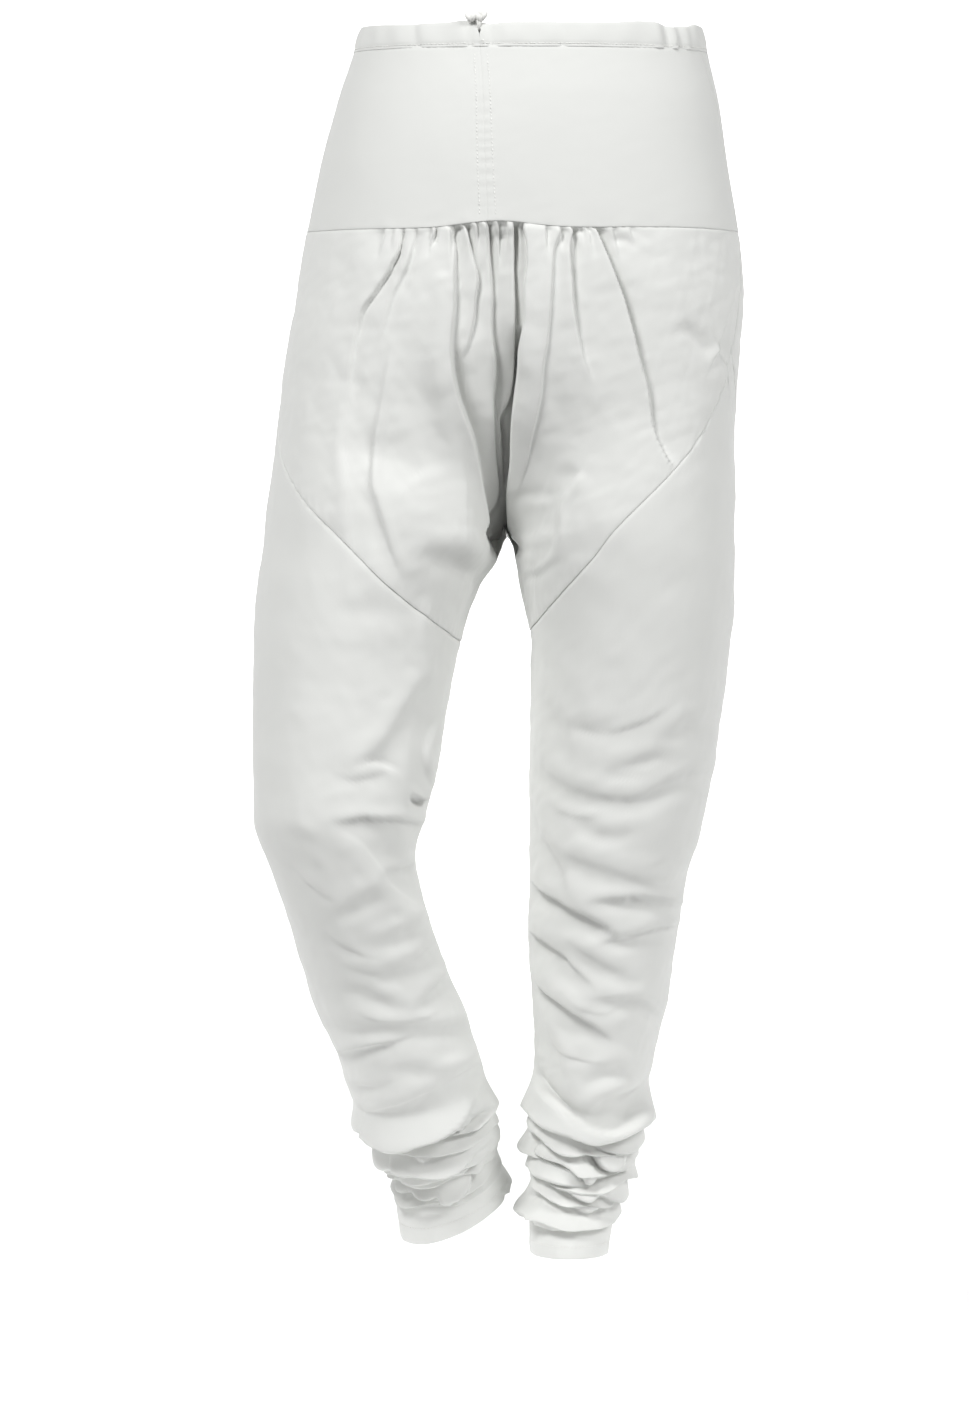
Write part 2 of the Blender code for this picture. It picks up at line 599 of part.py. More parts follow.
def main():
    for old in list(bpy.data.objects):
        bpy.data.objects.remove(old)
    collection = bpy.data.collections.new("churidar_trousers")
    bpy.context.scene.collection.children.link(collection)
    yoke_cloth = cloth_material("Yoke cotton", CLOTH_COLOUR, 0.85)
    panel_cloth = cloth_material("Panel cotton", CLOTH_COLOUR, 0.8)
    leg_cloth = cloth_material("Bias leg cotton", CLOTH_COLOUR, 0.8)
    cord = cloth_material("Drawstring cotton", CORD_COLOUR, 0.9)
    parts = waist_parts(yoke_cloth)
    for side, word in ((RIGHT, "right"), (LEFT, "left")):
        parts.append(upper_panel(f"upper_front_{word}", panel_cloth, side, True))
        parts.append(upper_panel(f"upper_back_{word}", panel_cloth, side, False))
        parts.append(leg(f"leg_{word}", leg_cloth, side))
    parts.append(knot("drawstring_knot", cord))
    for part in parts:
        collection.objects.link(part)


main()
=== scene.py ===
"""The churidar trousers dressed for a picture: cotton shells on their solids, with folds, seams and stitches.

Every shell lies on the same surface as its solid. A place on that surface is a turn and a drop: the
turn runs from 0 at the centre front (below the crotch, the inseam) round the outside of one leg to 1
at the centre back, and the drop is the depth below the waist. Tables are in millimetres and degrees,
and "left" and "right" are the wearer's, so left is +X.
"""

import math
from collections import namedtuple

import bmesh
import bpy
import numpy as np
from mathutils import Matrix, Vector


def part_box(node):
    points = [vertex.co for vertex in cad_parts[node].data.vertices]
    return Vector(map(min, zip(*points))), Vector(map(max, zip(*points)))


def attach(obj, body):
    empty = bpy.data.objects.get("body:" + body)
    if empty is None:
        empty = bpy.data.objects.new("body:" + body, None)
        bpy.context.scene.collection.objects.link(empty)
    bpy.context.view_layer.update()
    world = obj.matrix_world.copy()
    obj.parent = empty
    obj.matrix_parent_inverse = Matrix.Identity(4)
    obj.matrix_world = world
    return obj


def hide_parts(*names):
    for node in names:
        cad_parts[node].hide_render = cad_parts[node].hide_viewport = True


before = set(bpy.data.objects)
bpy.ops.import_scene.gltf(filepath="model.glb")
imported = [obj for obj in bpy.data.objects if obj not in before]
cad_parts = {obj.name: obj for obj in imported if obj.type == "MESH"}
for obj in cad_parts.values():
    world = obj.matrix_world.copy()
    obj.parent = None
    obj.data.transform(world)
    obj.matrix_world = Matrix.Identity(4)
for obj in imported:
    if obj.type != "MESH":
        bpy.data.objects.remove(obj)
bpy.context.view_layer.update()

bl_info = {
    "name": "Churidar trousers",
    "version": (1, 0, 0),
    "blender": (4, 5, 0),
    "location": "3D View > Sidebar > Churidar",
    "description": "Builds the cotton shells, seams, stitches and drawstring knot of churidar trousers",
    "category": "Object",
}

MM = 0.001
LEFT = 1
RIGHT = -1
SIDES = {RIGHT: "right", LEFT: "left"}

CASING_TOP = -10.0
YOKE_TOP = 10.0
YOKE_BOTTOM = 150.0
LEGS_START = 200.0
CROTCH = 384.0
FRONT_DIP = 8.5
FRONT_DIP_ENDS = 190.0
SEAM_REACH = 0.10
SIDE_SEAM_TURN = 0.5
PARTING_LAG = 1.6

# Level sections of the body of the trousers: half ovals front and back. facing is how far the centre
# front is turned towards the wearer's right, and full is 2 for an oval and more for squarer corners.
Hip = namedtuple("Hip", "drop centre half_width front back facing full")
HIPS = (
    Hip(-10, 1, 132, 92, 88, 18, 2.0),
    Hip(10, 0, 137, 96, 93, 16.5, 2.0),
    Hip(50, -2, 148, 104, 104, 13.5, 2.05),
    Hip(100, -5, 158, 110, 120, 11, 2.1),
    Hip(150, -6, 167, 113, 130, 9.3, 2.15),
    Hip(194, -8, 173, 115, 134, 8, 2.2),
    Hip(240, -13, 176, 114, 132, 6, 2.3),
    Hip(287, -18, 177, 112, 122, 4, 2.4),
    Hip(333, -22, 179, 108, 110, 1, 2.5),
    Hip(384, -24, 182, 104, 102, -2, 2.6),
)

# Sections of each leg: the x of its inner and outer side and the y of its front and back. roll lifts
# the wearer's left end and pitch lowers the front.
Leg = namedtuple("Leg", "drop inner outer front back roll pitch")
LEFT_LEG = (
    Leg(150, -18, 161, -113, 112, 0, 0),
    Leg(384, -18, 158, -104, 98, 0, 0),
    Leg(403, -12, 158, -102, 94, 0, 0),
    Leg(426, -8, 158, -99, 91, 0, 0),
    Leg(473, 0, 154, -93, 84, 0, 0),
    Leg(519, 0, 148, -88, 78, 0, 0),
    Leg(566, -1, 141, -82, 71, 0, 0),
    Leg(612, -1, 132, -76, 65, 0, 0),
    Leg(647, -1, 121, -71, 64, 0, 1),
    Leg(694, -2, 114, -60, 68, 0, 2),
    Leg(740, 0, 107, -51, 70, 0, 3),
    Leg(775, 3, 99, -42, 68, 0, 4),
    Leg(805, 2, 92, -34, 65, 0, 6),
    Leg(840, -1, 86, -27, 62, 0, 8),
    Leg(875, 1, 77, -22, 62, 0, 7),
    Leg(905, -2, 67, -18, 64, 0, 4),
    Leg(942, 0, 61, -14, 68, 0, 2),
)
RIGHT_LEG = (
    Leg(150, -18, -173, -113, 112, 0, 0),
    Leg(384, -18, -206, -108, 96, 0, 0),
    Leg(403, -26, -208, -108, 90, 0, 0),
    Leg(426, -41, -211, -108, 83, 0, 0),
    Leg(473, -56, -214, -110, 66, 0, 0),
    Leg(519, -64, -214, -114, 50, 0, 0),
    Leg(566, -72, -213, -120, 30, 0, 0),
    Leg(601, -81, -212, -124, 18, 2, 0),
    Leg(635, -88, -200, -118, 16, 5, 2),
    Leg(682, -79, -183, -104, 22, 8, 6),
    Leg(728, -64, -170, -86, 34, 9, 9),
    Leg(775, -46, -150, -68, 46, 9, 13),
    Leg(810, -36, -139, -52, 56, 9, 16),
    Leg(845, -28, -122, -34, 66, 10, 17),
    Leg(872, -26, -107, -16, 74, 12, 19),
    Leg(890, -21, -105, -6, 82, 18, 22),
    Leg(909, -14, -103, 2, 88, 25, 25),
)
LEGS = {LEFT: LEFT_LEG, RIGHT: RIGHT_LEG}

# The slanting seam between an upper panel and the leg. It peaks at the side seam.
Slant = namedtuple("Slant", "peak_turn peak_drop inseam_drop rise")
SLANTS = {LEFT: Slant(0.415, 243, 458, 1.88), RIGHT: Slant(0.54, 243, 466, 1.88)}

# Folds as seen from the front or the back: a path of (x, drop, share). Going along the path the cloth
# rises on the left hand and sinks on the right hand, over the widths before and after. lap pulls the
# rise over the hollow, and widen is how much wider the fold is at the end of its path.
Fold = namedtuple("Fold", "rise sink before after lap widen path")
FRONT_FOLDS = (
    Fold(0, 12, 4, 19, 0, 1, ((-7, 165, 0.5), (-9, 230, 1), (-5, 300, 1), (0, 370, 1), (1, 395, 0.5))),
    Fold(
        1.8, 5, 6, 5, 1.6, 0.5,
        ((-137, 288, 0), (-137, 266, 0.3), (-134, 239, 0.5), (-129, 218, 0.7), (-120, 205, 0.8),
         (-109, 189, 0.9), (-106, 182, 1), (-101, 173, 1), (-98, 161, 0.7)),
    ),
    Fold(
        1.2, 3.2, 5, 5, 1, 0.6,
        ((-115, 248, 0), (-111, 229, 0.4), (-105, 207, 0.7), (-96, 188, 1), (-92, 177, 1),
         (-88, 162, 0.8)),
    ),
    Fold(1.4, 3.6, 3, 3, 1.4, 0.8, ((-80, 178, 0), (-77, 172, 0.4), (-75, 165, 1), (-73, 158, 1))),
    Fold(
        2, 14, 9, 13, 2.2, 0.3,
        ((-28, 390, 0.9), (-31, 374, 1), (-38, 348, 1), (-46, 315, 1), (-55, 288, 1), (-60, 267, 1),
         (-61, 244, 0.45), (-59, 216, 0.45), (-59, 193, 0.45), (-59, 173, 0.45), (-61, 163, 0.45),
         (-60, 156, 0.45)),
    ),
    Fold(
        5, 0, 12, 8, 0, 0.7,
        ((-29, 393, 0.8), (-38, 359, 1), (-49, 322, 1), (-57, 285, 1), (-61, 259, 0.9), (-59, 226, 0.5),
         (-59, 196, 0.4)),
    ),
    Fold(
        1.2, 5, 4, 3.5, 1.6, 0.9,
        ((-54, 256, 0), (-49, 245, 0.4), (-45, 227, 0.7), (-44, 211, 0.9), (-42, 194, 1), (-46, 177, 1),
         (-49, 166, 1), (-52, 157, 1)),
    ),
    Fold(
        3, 11, 6, 6, 1.6, 0.5,
        ((-30, 377, 0.9), (-26, 363, 1), (-25, 351, 1), (-28, 333, 1), (-30, 307, 0.9), (-30, 285, 0.6),
         (-28, 261, 0.6), (-31, 233, 0.5), (-31, 205, 0.5), (-33, 178, 0.6), (-34, 156, 0.7)),
    ),
    Fold(
        3, 12, 7, 5, 2.2, 0.45,
        ((-21, 344, 0.4), (-24, 314, 1), (-25, 300, 1), (-18, 285, 1), (-15, 268, 1), (-14, 245, 0.9),
         (-13, 216, 0.6), (-14, 190, 0.6), (-14, 170, 0.7), (-14, 157, 0.8)),
    ),
    Fold(
        3.75, 6.75, 4, 4, 2.25, 1.4,
        ((-5, 157, 1), (-3, 167, 1), (-3, 186, 0.9), (-5, 203, 0.9), (-5, 222, 1), (-8, 245, 0.8),
         (-11, 259, 0.4), (-12, 270, 0)),
    ),
    Fold(
        4, 26, 8, 8, 3, 1,
        ((-6, 230, 0), (-8, 246, 0.6), (-9, 261, 0.9), (-11, 276, 1), (-14, 303, 1), (-15, 332, 1),
         (-17, 351, 1), (-17, 369, 1), (-16, 388, 0.8)),
    ),
    Fold(
        1.7, 3.4, 8, 10, 0.9, 0.35,
        ((-8, 351, 0.2), (-4, 340, 0.5), (1, 314, 0.8), (7, 286, 1), (9, 263, 1), (12, 243, 1),
         (14, 211, 1), (15, 190, 1), (16, 173, 1), (20, 160, 1)),
    ),
    Fold(
        2.2, 5.5, 9, 8, 1.6, 0.5,
        ((48, 276, 0), (40, 256, 0.3), (35, 237, 0.6), (31, 216, 0.8), (29, 192, 1), (27, 171, 1),
         (29, 159, 1)),
    ),
    Fold(
        3, 9.5, 9, 5, 3, 0.75,
        ((108, 336, 0), (101, 326, 0.35), (92, 306, 0.45), (87, 276, 0.6), (81, 257, 0.7), (76, 238, 0.9),
         (68, 210, 1), (61, 192, 1), (55, 177, 1), (47, 160, 1)),
    ),
    Fold(0.6, 1, 3, 3, 0, 1, ((66, 162, 1), (76, 165, 0.8), (88, 174, 0))),
    Fold(
        1.27, 1.73, 5.46, 7.02, 0.73, 0.8,
        ((-136, 438, 0), (-136, 395, 0.7), (-137, 378, 1), (-139, 347, 1), (-143, 323, 1),
         (-141, 304, 0.9), (-138, 277, 0.7), (-134, 234, 0)),
    ),
    Fold(
        2.4, 2.4, 4, 7, 0.75, 1,
        ((-106, 244, 0), (-110, 262, 0.5), (-116, 294, 0.8), (-120, 316, 1), (-121, 348, 1),
         (-117, 362, 1), (-114, 372, 1), (-104, 402, 0.8), (-95, 424, 0)),
    ),
    Fold(
        2.4, 3.9, 9, 9, 0, 1,
        ((-78, 392, 0), (-67, 399, 0.8), (-56, 403, 1), (-47, 407, 1), (-34, 402, 0.3)),
    ),
    Fold(
        0.78, 1.94, 7.02, 7.8, 0.25, 1,
        ((-153, 435, 0), (-135, 438, 0.7), (-118, 438, 0.7), (-94, 442, 0)),
    ),
    Fold(
        1.17, 1.51, 4.68, 7.02, 0.25, 1,
        ((-86, 484, 0), (-79, 462, 0.7), (-76, 451, 1), (-70, 434, 0.7), (-66, 413, 0)),
    ),
    Fold(
        2.3, 2.72, 7.02, 10.14, 0.55, 1,
        ((-128, 564, 0.4), (-121, 554, 0.9), (-110, 542, 1), (-95, 520, 1), (-85, 505, 1), (-74, 494, 1),
         (-73, 483, 0.8), (-70, 466, 0.4), (-68, 445, 0)),
    ),
    Fold(
        2.14, 2.59, 4.68, 3.12, 0.9, 1,
        ((-97, 566, 0), (-106, 563, 0.7), (-116, 559, 1), (-126, 561, 0.7), (-138, 570, 0)),
    ),
    Fold(
        2.33, 2.81, 4.68, 5.46, 0.9, 1,
        ((-62, 506, 0), (-65, 517, 0.6), (-74, 534, 1), (-80, 552, 1), (-78, 568, 1), (-76, 580, 0.5)),
    ),
    Fold(
        4, 10, 5, 4, 2.4, 1,
        ((-92, 583, 0), (-87, 585, 0.6), (-81, 588, 1), (-77, 585, 1), (-75, 578, 0.8)),
    ),
    Fold(
        2.34, 2.77, 3.9, 7.02, 0.9, 1,
        ((-151, 604, 0), (-139, 602, 0.7), (-126, 600, 1), (-114, 601, 1), (-98, 602, 1),
         (-83, 606, 0.9)),
    ),
    Fold(1.55, 2.77, 4.68, 6.24, 0.73, 1, ((-118, 646, 0), (-108, 641, 0.7), (-98, 639, 1), (-88, 637, 1))),
    Fold(
        2.3, 2.05, 8.58, 10.14, 0.55, 1,
        ((-79, 676, 0.2), (-84, 670, 0.8), (-95, 660, 1), (-105, 651, 1), (-114, 638, 1),
         (-126, 622, 0.9), (-137, 614, 0.6), (-152, 605, 0)),
    ),
    Fold(
        1.25, 1.55, 6.24, 6.24, 0.25, 1,
        ((-202, 604, 0), (-181, 610, 0.7), (-169, 614, 0.7), (-151, 620, 0)),
    ),
    Fold(
        1.09, 1.21, 4.68, 5.46, 0.25, 1,
        ((-179, 620, 0), (-170, 628, 0.7), (-164, 633, 0.7), (-154, 642, 0)),
    ),
    Fold(
        1.32, 1.76, 7.02, 6.24, 0.25, 1,
        ((-158, 674, 0), (-144, 669, 0.7), (-133, 664, 1), (-119, 656, 1), (-101, 654, 0.3)),
    ),
    Fold(
        1.46, 1.91, 6.24, 5.46, 0.25, 1,
        ((-129, 696, 0), (-108, 691, 0.7), (-97, 687, 1), (-87, 683, 1), (-79, 675, 0.8)),
    ),
    Fold(
        1.86, 1.96, 7.02, 7.02, 0.6, 1,
        ((-149, 710, 0), (-134, 715, 0.7), (-124, 717, 1), (-115, 718, 1), (-103, 714, 1), (-93, 710, 1),
         (-84, 705, 1), (-73, 695, 0.8)),
    ),
    Fold(
        1.33, 2.39, 5.46, 6.24, 0.25, 1,
        ((-154, 725, 0), (-138, 728, 0.7), (-125, 730, 1), (-114, 735, 1), (-103, 740, 0.7),
         (-90, 754, 0)),
    ),
    Fold(
        1.99, 2.2, 5.46, 5.46, 0.73, 1,
        ((-94, 749, 0), (-84, 740, 0.7), (-76, 732, 1), (-70, 726, 1), (-64, 720, 0.8)),
    ),
    Fold(
        1.82, 2.75, 6.24, 6.24, 0.25, 1,
        ((-160, 756, 0), (-140, 758, 0.7), (-125, 759, 1), (-107, 759, 1), (-82, 760, 0.9), (-65, 760, 1),
         (-48, 760, 0.7)),
    ),
    Fold(
        2.48, 2.57, 5.46, 5.46, 0.9, 1,
        ((-150, 783, 0.4), (-136, 778, 1), (-126, 775, 1), (-116, 773, 1), (-105, 771, 0.7),
         (-87, 766, 0)),
    ),
    Fold(
        1.49, 2.57, 6.24, 7.02, 0.25, 1,
        ((-105, 786, 0), (-90, 790, 0.7), (-78, 792, 1), (-63, 794, 0.7), (-39, 791, 0)),
    ),
    Fold(
        1.65, 2.02, 4.68, 5.46, 0.49, 1,
        ((-141, 806, 0.4), (-132, 806, 1), (-124, 806, 1), (-115, 805, 0.7), (-102, 800, 0)),
    ),
    Fold(
        3.06, 3.57, 8, 10, 0.5, 1,
        ((-135, 831, 0), (-117, 825, 0.7), (-101, 820, 1), (-87, 814, 1), (-70, 807, 1), (-52, 797, 1),
         (-39, 791, 0.8)),
    ),
    Fold(
        1.6, 2, 4, 6, 0.5, 1,
        ((37, 338, 0), (32, 345, 1), (26, 354, 1), (21, 363, 1), (19, 376, 1), (18, 387, 1), (16, 396, 1),
         (12, 404, 0.6)),
    ),
    Fold(
        1.15, 1.12, 2.34, 3.12, 0.55, 1,
        ((-9, 418, 0.3), (-3, 415, 1), (5, 414, 1), (14, 407, 0.7), (26, 401, 0)),
    ),
    Fold(
        0.9, 1.3, 4, 4, 0.2, 1,
        ((16, 360, 0), (10, 359, 0.8), (3, 360, 1), (-2, 360, 1), (-7, 364, 1), (-11, 370, 0.3)),
    ),
    Fold(1.17, 1.73, 7.02, 6.24, 0.25, 1, ((0, 465, 0.6), (8, 473, 1), (16, 487, 0.7), (26, 512, 0))),
    Fold(
        0.91, 1.12, 6, 6, 0.3, 1,
        ((11, 521, 0), (26, 527, 0.7), (34, 528, 1), (42, 527, 1), (53, 527, 0.7), (74, 522, 0)),
    ),
    Fold(
        1.36, 1.97, 7.02, 6.24, 0.25, 1,
        ((93, 542, 0), (108, 534, 0.7), (115, 529, 1), (123, 527, 1), (135, 524, 1), (147, 522, 0.8)),
    ),
    Fold(
        1.63, 1.81, 7.02, 5.46, 0.49, 1,
        ((47, 568, 0), (62, 562, 0.7), (74, 558, 1), (88, 554, 1), (100, 552, 0.7), (122, 555, 0)),
    ),
    Fold(
        2.04, 2.72, 8.58, 7.02, 0.61, 1,
        ((6, 559, 0.3), (15, 569, 0.9), (26, 576, 1), (38, 581, 1), (57, 585, 1), (71, 586, 1),
         (85, 584, 1), (97, 577, 1), (108, 572, 1), (120, 568, 1), (139, 567, 0.8)),
    ),
    Fold(
        1.22, 1.67, 6.24, 5.46, 0.25, 1,
        ((28, 602, 0), (45, 608, 0.7), (57, 611, 1), (68, 611, 0.7), (90, 608, 0)),
    ),
    Fold(
        1.36, 2.42, 5.46, 6.24, 0.25, 1,
        ((8, 492, 0), (16, 511, 0.7), (22, 528, 1), (27, 545, 0.7), (32, 568, 0)),
    ),
    Fold(
        2.22, 2.58, 9.36, 8.58, 0.55, 1,
        ((10, 612, 0), (22, 626, 0.7), (31, 631, 1), (42, 635, 1), (54, 639, 1), (69, 644, 1),
         (85, 648, 1), (101, 649, 1), (121, 645, 0.8)),
    ),
    Fold(
        2.04, 2.57, 5.46, 5.46, 0.85, 1,
        ((3, 597, 0.3), (7, 610, 0.8), (11, 620, 1), (17, 631, 1), (22, 641, 1), (26, 652, 0.6),
         (32, 666, 0)),
    ),
    Fold(
        3.6, 7.5, 9, 8, 0.95, 1,
        ((-1, 650, 0.5), (7, 658, 1), (20, 665, 1), (30, 671, 1), (42, 676, 1), (53, 682, 0.7),
         (68, 691, 0)),
    ),
    Fold(
        2.92, 3.67, 4.68, 5.46, 0.73, 1,
        ((40, 664, 0), (55, 663, 0.7), (67, 663, 1), (81, 663, 1), (98, 666, 1), (117, 670, 0.8)),
    ),
    Fold(
        2.92, 3.46, 6.24, 5.46, 0.73, 1,
        ((48, 698, 0), (62, 694, 0.7), (81, 690, 1), (95, 687, 1), (115, 685, 0.9)),
    ),
    Fold(
        3.4, 6.6, 8, 8, 0.9, 1,
        ((-2, 690, 0.5), (8, 696, 1), (16, 702, 1), (24, 708, 1), (32, 717, 0.7), (52, 734, 0)),
    ),
    Fold(
        2.74, 3.52, 7.8, 7.02, 0.55, 1,
        ((20, 689, 0), (32, 698, 0.7), (41, 704, 1), (51, 711, 1), (63, 717, 0.7), (88, 729, 0)),
    ),
    Fold(
        3.8, 8, 9, 8, 0.95, 1,
        ((-1, 720, 0.5), (3, 728, 0.9), (9, 735, 1), (17, 741, 1), (27, 748, 1), (38, 755, 1),
         (48, 761, 0.7), (64, 774, 0)),
    ),
    Fold(
        2.53, 3.89, 6.24, 6.24, 0.49, 1,
        ((36, 740, 0), (54, 739, 0.7), (69, 740, 1), (83, 742, 1), (92, 749, 0.9), (103, 759, 0.4)),
    ),
    Fold(
        2.59, 3.04, 7.02, 7.02, 0.55, 1,
        ((3, 746, 0.5), (8, 757, 1), (13, 769, 1), (19, 781, 1), (23, 793, 0.7), (28, 816, 0)),
    ),
    Fold(
        1.94, 3.24, 6.24, 6.24, 0.25, 1,
        ((34, 802, 0), (47, 798, 0.7), (57, 794, 1), (68, 793, 1), (80, 799, 0.8), (92, 807, 0.3)),
    ),
    Fold(2.5, 4, 7, 7, 0.36, 1, ((42, 832, 0), (50, 823, 0.8), (58, 818, 1), (72, 815, 1), (88, 814, 0.8))),
    Fold(1.12, 1.38, 3, 3, 0.24, 1, ((-91, 909, 0), (-85, 910, 1), (-77, 909, 1), (-65, 908, 0))),
    Fold(
        1.2, 3.2, 15, 15, 0, 1,
        ((-135, 300, 0), (-116, 310, 1), (-96, 316, 1), (-76, 326, 0.6), (-65, 338, 0)),
    ),
    Fold(
        2.88, 8.64, 6, 3.8, 2.42, 1,
        ((-128, 832, 0.3), (-127, 843, 0.8), (-116, 843, 1), (-105, 845, 1), (-90, 841, 1), (-73, 836, 1),
         (-57, 830, 1), (-40, 819, 0.7)),
    ),
    Fold(
        1.72, 9.6, 3, 4.42, 2.18, 1,
        ((-123, 849, 0.4), (-113, 852, 1), (-99, 852, 1), (-86, 850, 1), (-60, 841, 1), (-45, 835, 0.8),
         (-38, 830, 0.3)),
    ),
    Fold(
        1.84, 5.76, 3, 3.8, 1.69, 1,
        ((-75, 836, 0), (-65, 831, 0.8), (-56, 826, 1), (-45, 817, 1), (-38, 810, 0.6)),
    ),
    Fold(1.84, 6.53, 3, 3.8, 1.69, 1, ((-60, 837, 0), (-52, 830, 0.9), (-43, 823, 1), (-35, 818, 0.6))),
    Fold(
        2.88, 7.68, 5, 5.06, 1.94, 1,
        ((-113, 855, 0.3), (-106, 864, 0.9), (-96, 867, 1), (-90, 867, 1), (-73, 868, 1), (-58, 864, 1),
         (-48, 857, 1), (-35, 849, 0.5)),
    ),
    Fold(
        2.3, 7.68, 4, 5.06, 1.81, 1,
        ((-107, 869, 0.2), (-99, 877, 0.9), (-83, 878, 1), (-66, 876, 1), (-49, 871, 1), (-38, 858, 0.5)),
    ),
    Fold(
        2.88, 12.48, 4, 4.42, 2.66, 1,
        ((-105, 877, 0.4), (-104, 883, 1), (-99, 887, 1), (-92, 888, 1), (-87, 890, 1), (-80, 891, 1),
         (-72, 889, 1), (-68, 891, 1), (-62, 890, 1), (-48, 882, 1), (-36, 868, 0.5)),
    ),
    Fold(
        2.3, 7.68, 5, 3.8, 1.94, 1,
        ((-106, 890, 0.3), (-101, 900, 1), (-81, 900, 0.8), (-66, 899, 1), (-47, 892, 0.8),
         (-33, 880, 0.3)),
    ),
    Fold(1.61, 4.99, 3, 3.8, 1.45, 1, ((-96, 855, 0), (-86, 861, 1), (-75, 859, 1), (-63, 852, 0))),
    Fold(
        3.2, 8.5, 3.5, 4.5, 2.6, 1,
        ((92, 803, 0.3), (90, 816, 0.9), (81, 825, 1), (70, 834, 1), (56, 837, 1), (38, 833, 1),
         (20, 821, 1), (5, 807, 0.9), (3, 795, 0.3)),
    ),
    Fold(
        2.88, 8, 5, 3.45, 2.2, 1,
        ((2, 820, 0.3), (8, 827, 0.9), (21, 834, 1), (39, 841, 1), (58, 849, 1), (74, 840, 1),
         (84, 832, 0.9), (89, 824, 0.4)),
    ),
    Fold(
        2.3, 10.4, 4, 5.17, 2.2, 1,
        ((5, 840, 0.3), (11, 845, 1), (23, 853, 1), (37, 856, 1), (46, 857, 0.2)),
    ),
    Fold(
        1.72, 5.6, 3, 3.45, 1.65, 1,
        ((29, 840, 0), (37, 846, 1), (52, 852, 1), (65, 854, 1), (77, 853, 0.5)),
    ),
    Fold(
        2.88, 14.4, 4, 3.45, 2.64, 1,
        ((44, 856, 0.2), (50, 861, 1), (59, 866, 1), (68, 865, 1), (76, 860, 0.3)),
    ),
    Fold(
        3.45, 9.6, 6, 4.02, 2.42, 1,
        ((1, 851, 0.4), (6, 855, 1), (17, 861, 1), (35, 868, 1), (44, 879, 1), (57, 874, 1),
         (78, 870, 0.9), (80, 863, 0.4)),
    ),
    Fold(
        3.45, 11.2, 3, 3.45, 2.2, 1,
        ((3, 857, 0.3), (0, 851, 1), (-1, 847, 1), (-1, 843, 1), (5, 841, 1), (9, 845, 0.4)),
    ),
    Fold(
        2.3, 7.2, 4, 3.45, 1.98, 1,
        ((1, 867, 0.4), (4, 870, 1), (14, 873, 1), (25, 877, 1), (39, 880, 0.4)),
    ),
    Fold(
        2.88, 8.8, 5, 4.02, 2.2, 1,
        ((3, 872, 0.3), (13, 876, 1), (29, 888, 1), (44, 893, 1), (54, 890, 1), (65, 890, 1),
         (71, 891, 0.4)),
    ),
    Fold(
        2.3, 7.2, 4, 4.02, 1.76, 1,
        ((-14, 890, 0.4), (1, 889, 1), (20, 895, 1), (36, 901, 1), (50, 903, 1), (66, 895, 0.5)),
    ),
    Fold(
        2.88, 8, 6, 3.45, 2.2, 1,
        ((-16, 897, 0.4), (2, 901, 1), (3, 916, 1), (15, 920, 1), (33, 919, 1), (53, 919, 1),
         (63, 911, 0.5)),
    ),
    Fold(
        1.3, 3.2, 4, 6, 1.4, 1,
        ((139, 253, 0.5), (141, 249, 0.9), (144, 243, 1), (149, 223, 1), (156, 205, 0.8), (160, 192, 0)),
    ),
    Fold(
        1.6, 2.8, 4, 6, 1.2, 1,
        ((158, 306, 0), (155, 292, 0.6), (152, 273, 0.9), (149, 257, 1), (144, 245, 0.8)),
    ),
    Fold(0.8, 2.6, 6, 6, 0, 1, ((116, 221, 0), (123, 227, 0.8), (129, 233, 1), (137, 241, 0.6))),
    Fold(
        0.5, 1.36, 4, 4, 1, 1,
        ((30, 527, 0), (41, 532, 0.8), (59, 535, 1), (81, 529, 1), (103, 518, 0.5)),
    ),
    Fold(0.5, 1.12, 4, 4, 1, 1, ((52, 564, 0), (69, 568, 1), (89, 566, 1), (112, 556, 0.4))),
    Fold(0.5, 1.24, 4, 4, 1, 1, ((11, 588, 0), (23, 597, 1), (41, 601, 1), (62, 598, 0))),
    Fold(0.5, 1.12, 4, 4, 1, 1, ((82, 639, 0), (98, 634, 1), (117, 626, 0.6))),
    Fold(0.5, 1.12, 4, 4, 1, 1, ((-151, 565, 0), (-136, 570, 1), (-116, 567, 1), (-97, 560, 0))),
    Fold(0.5, 1.12, 4, 4, 1, 1, ((-183, 632, 0), (-174, 645, 1), (-160, 656, 1), (-144, 663, 0))),
    Fold(0.5, 1.12, 4, 4, 1, 1, ((-158, 685, 0), (-146, 695, 1), (-128, 703, 1), (-112, 706, 0))),
    Fold(
        0.5, 1.24, 4, 4, 1, 1,
        ((-136, 746, 0), (-120, 753, 1), (-102, 756, 1), (-82, 753, 1), (-66, 747, 0)),
    ),
    Fold(0.5, 1.12, 4, 4, 1, 1, ((27, 741, 0), (41, 748, 1), (57, 751, 1), (74, 746, 0))),
    Fold(0.5, 1.24, 4, 4, 1, 1, ((14, 773, 0), (24, 782, 1), (41, 788, 1), (59, 790, 0))),
)
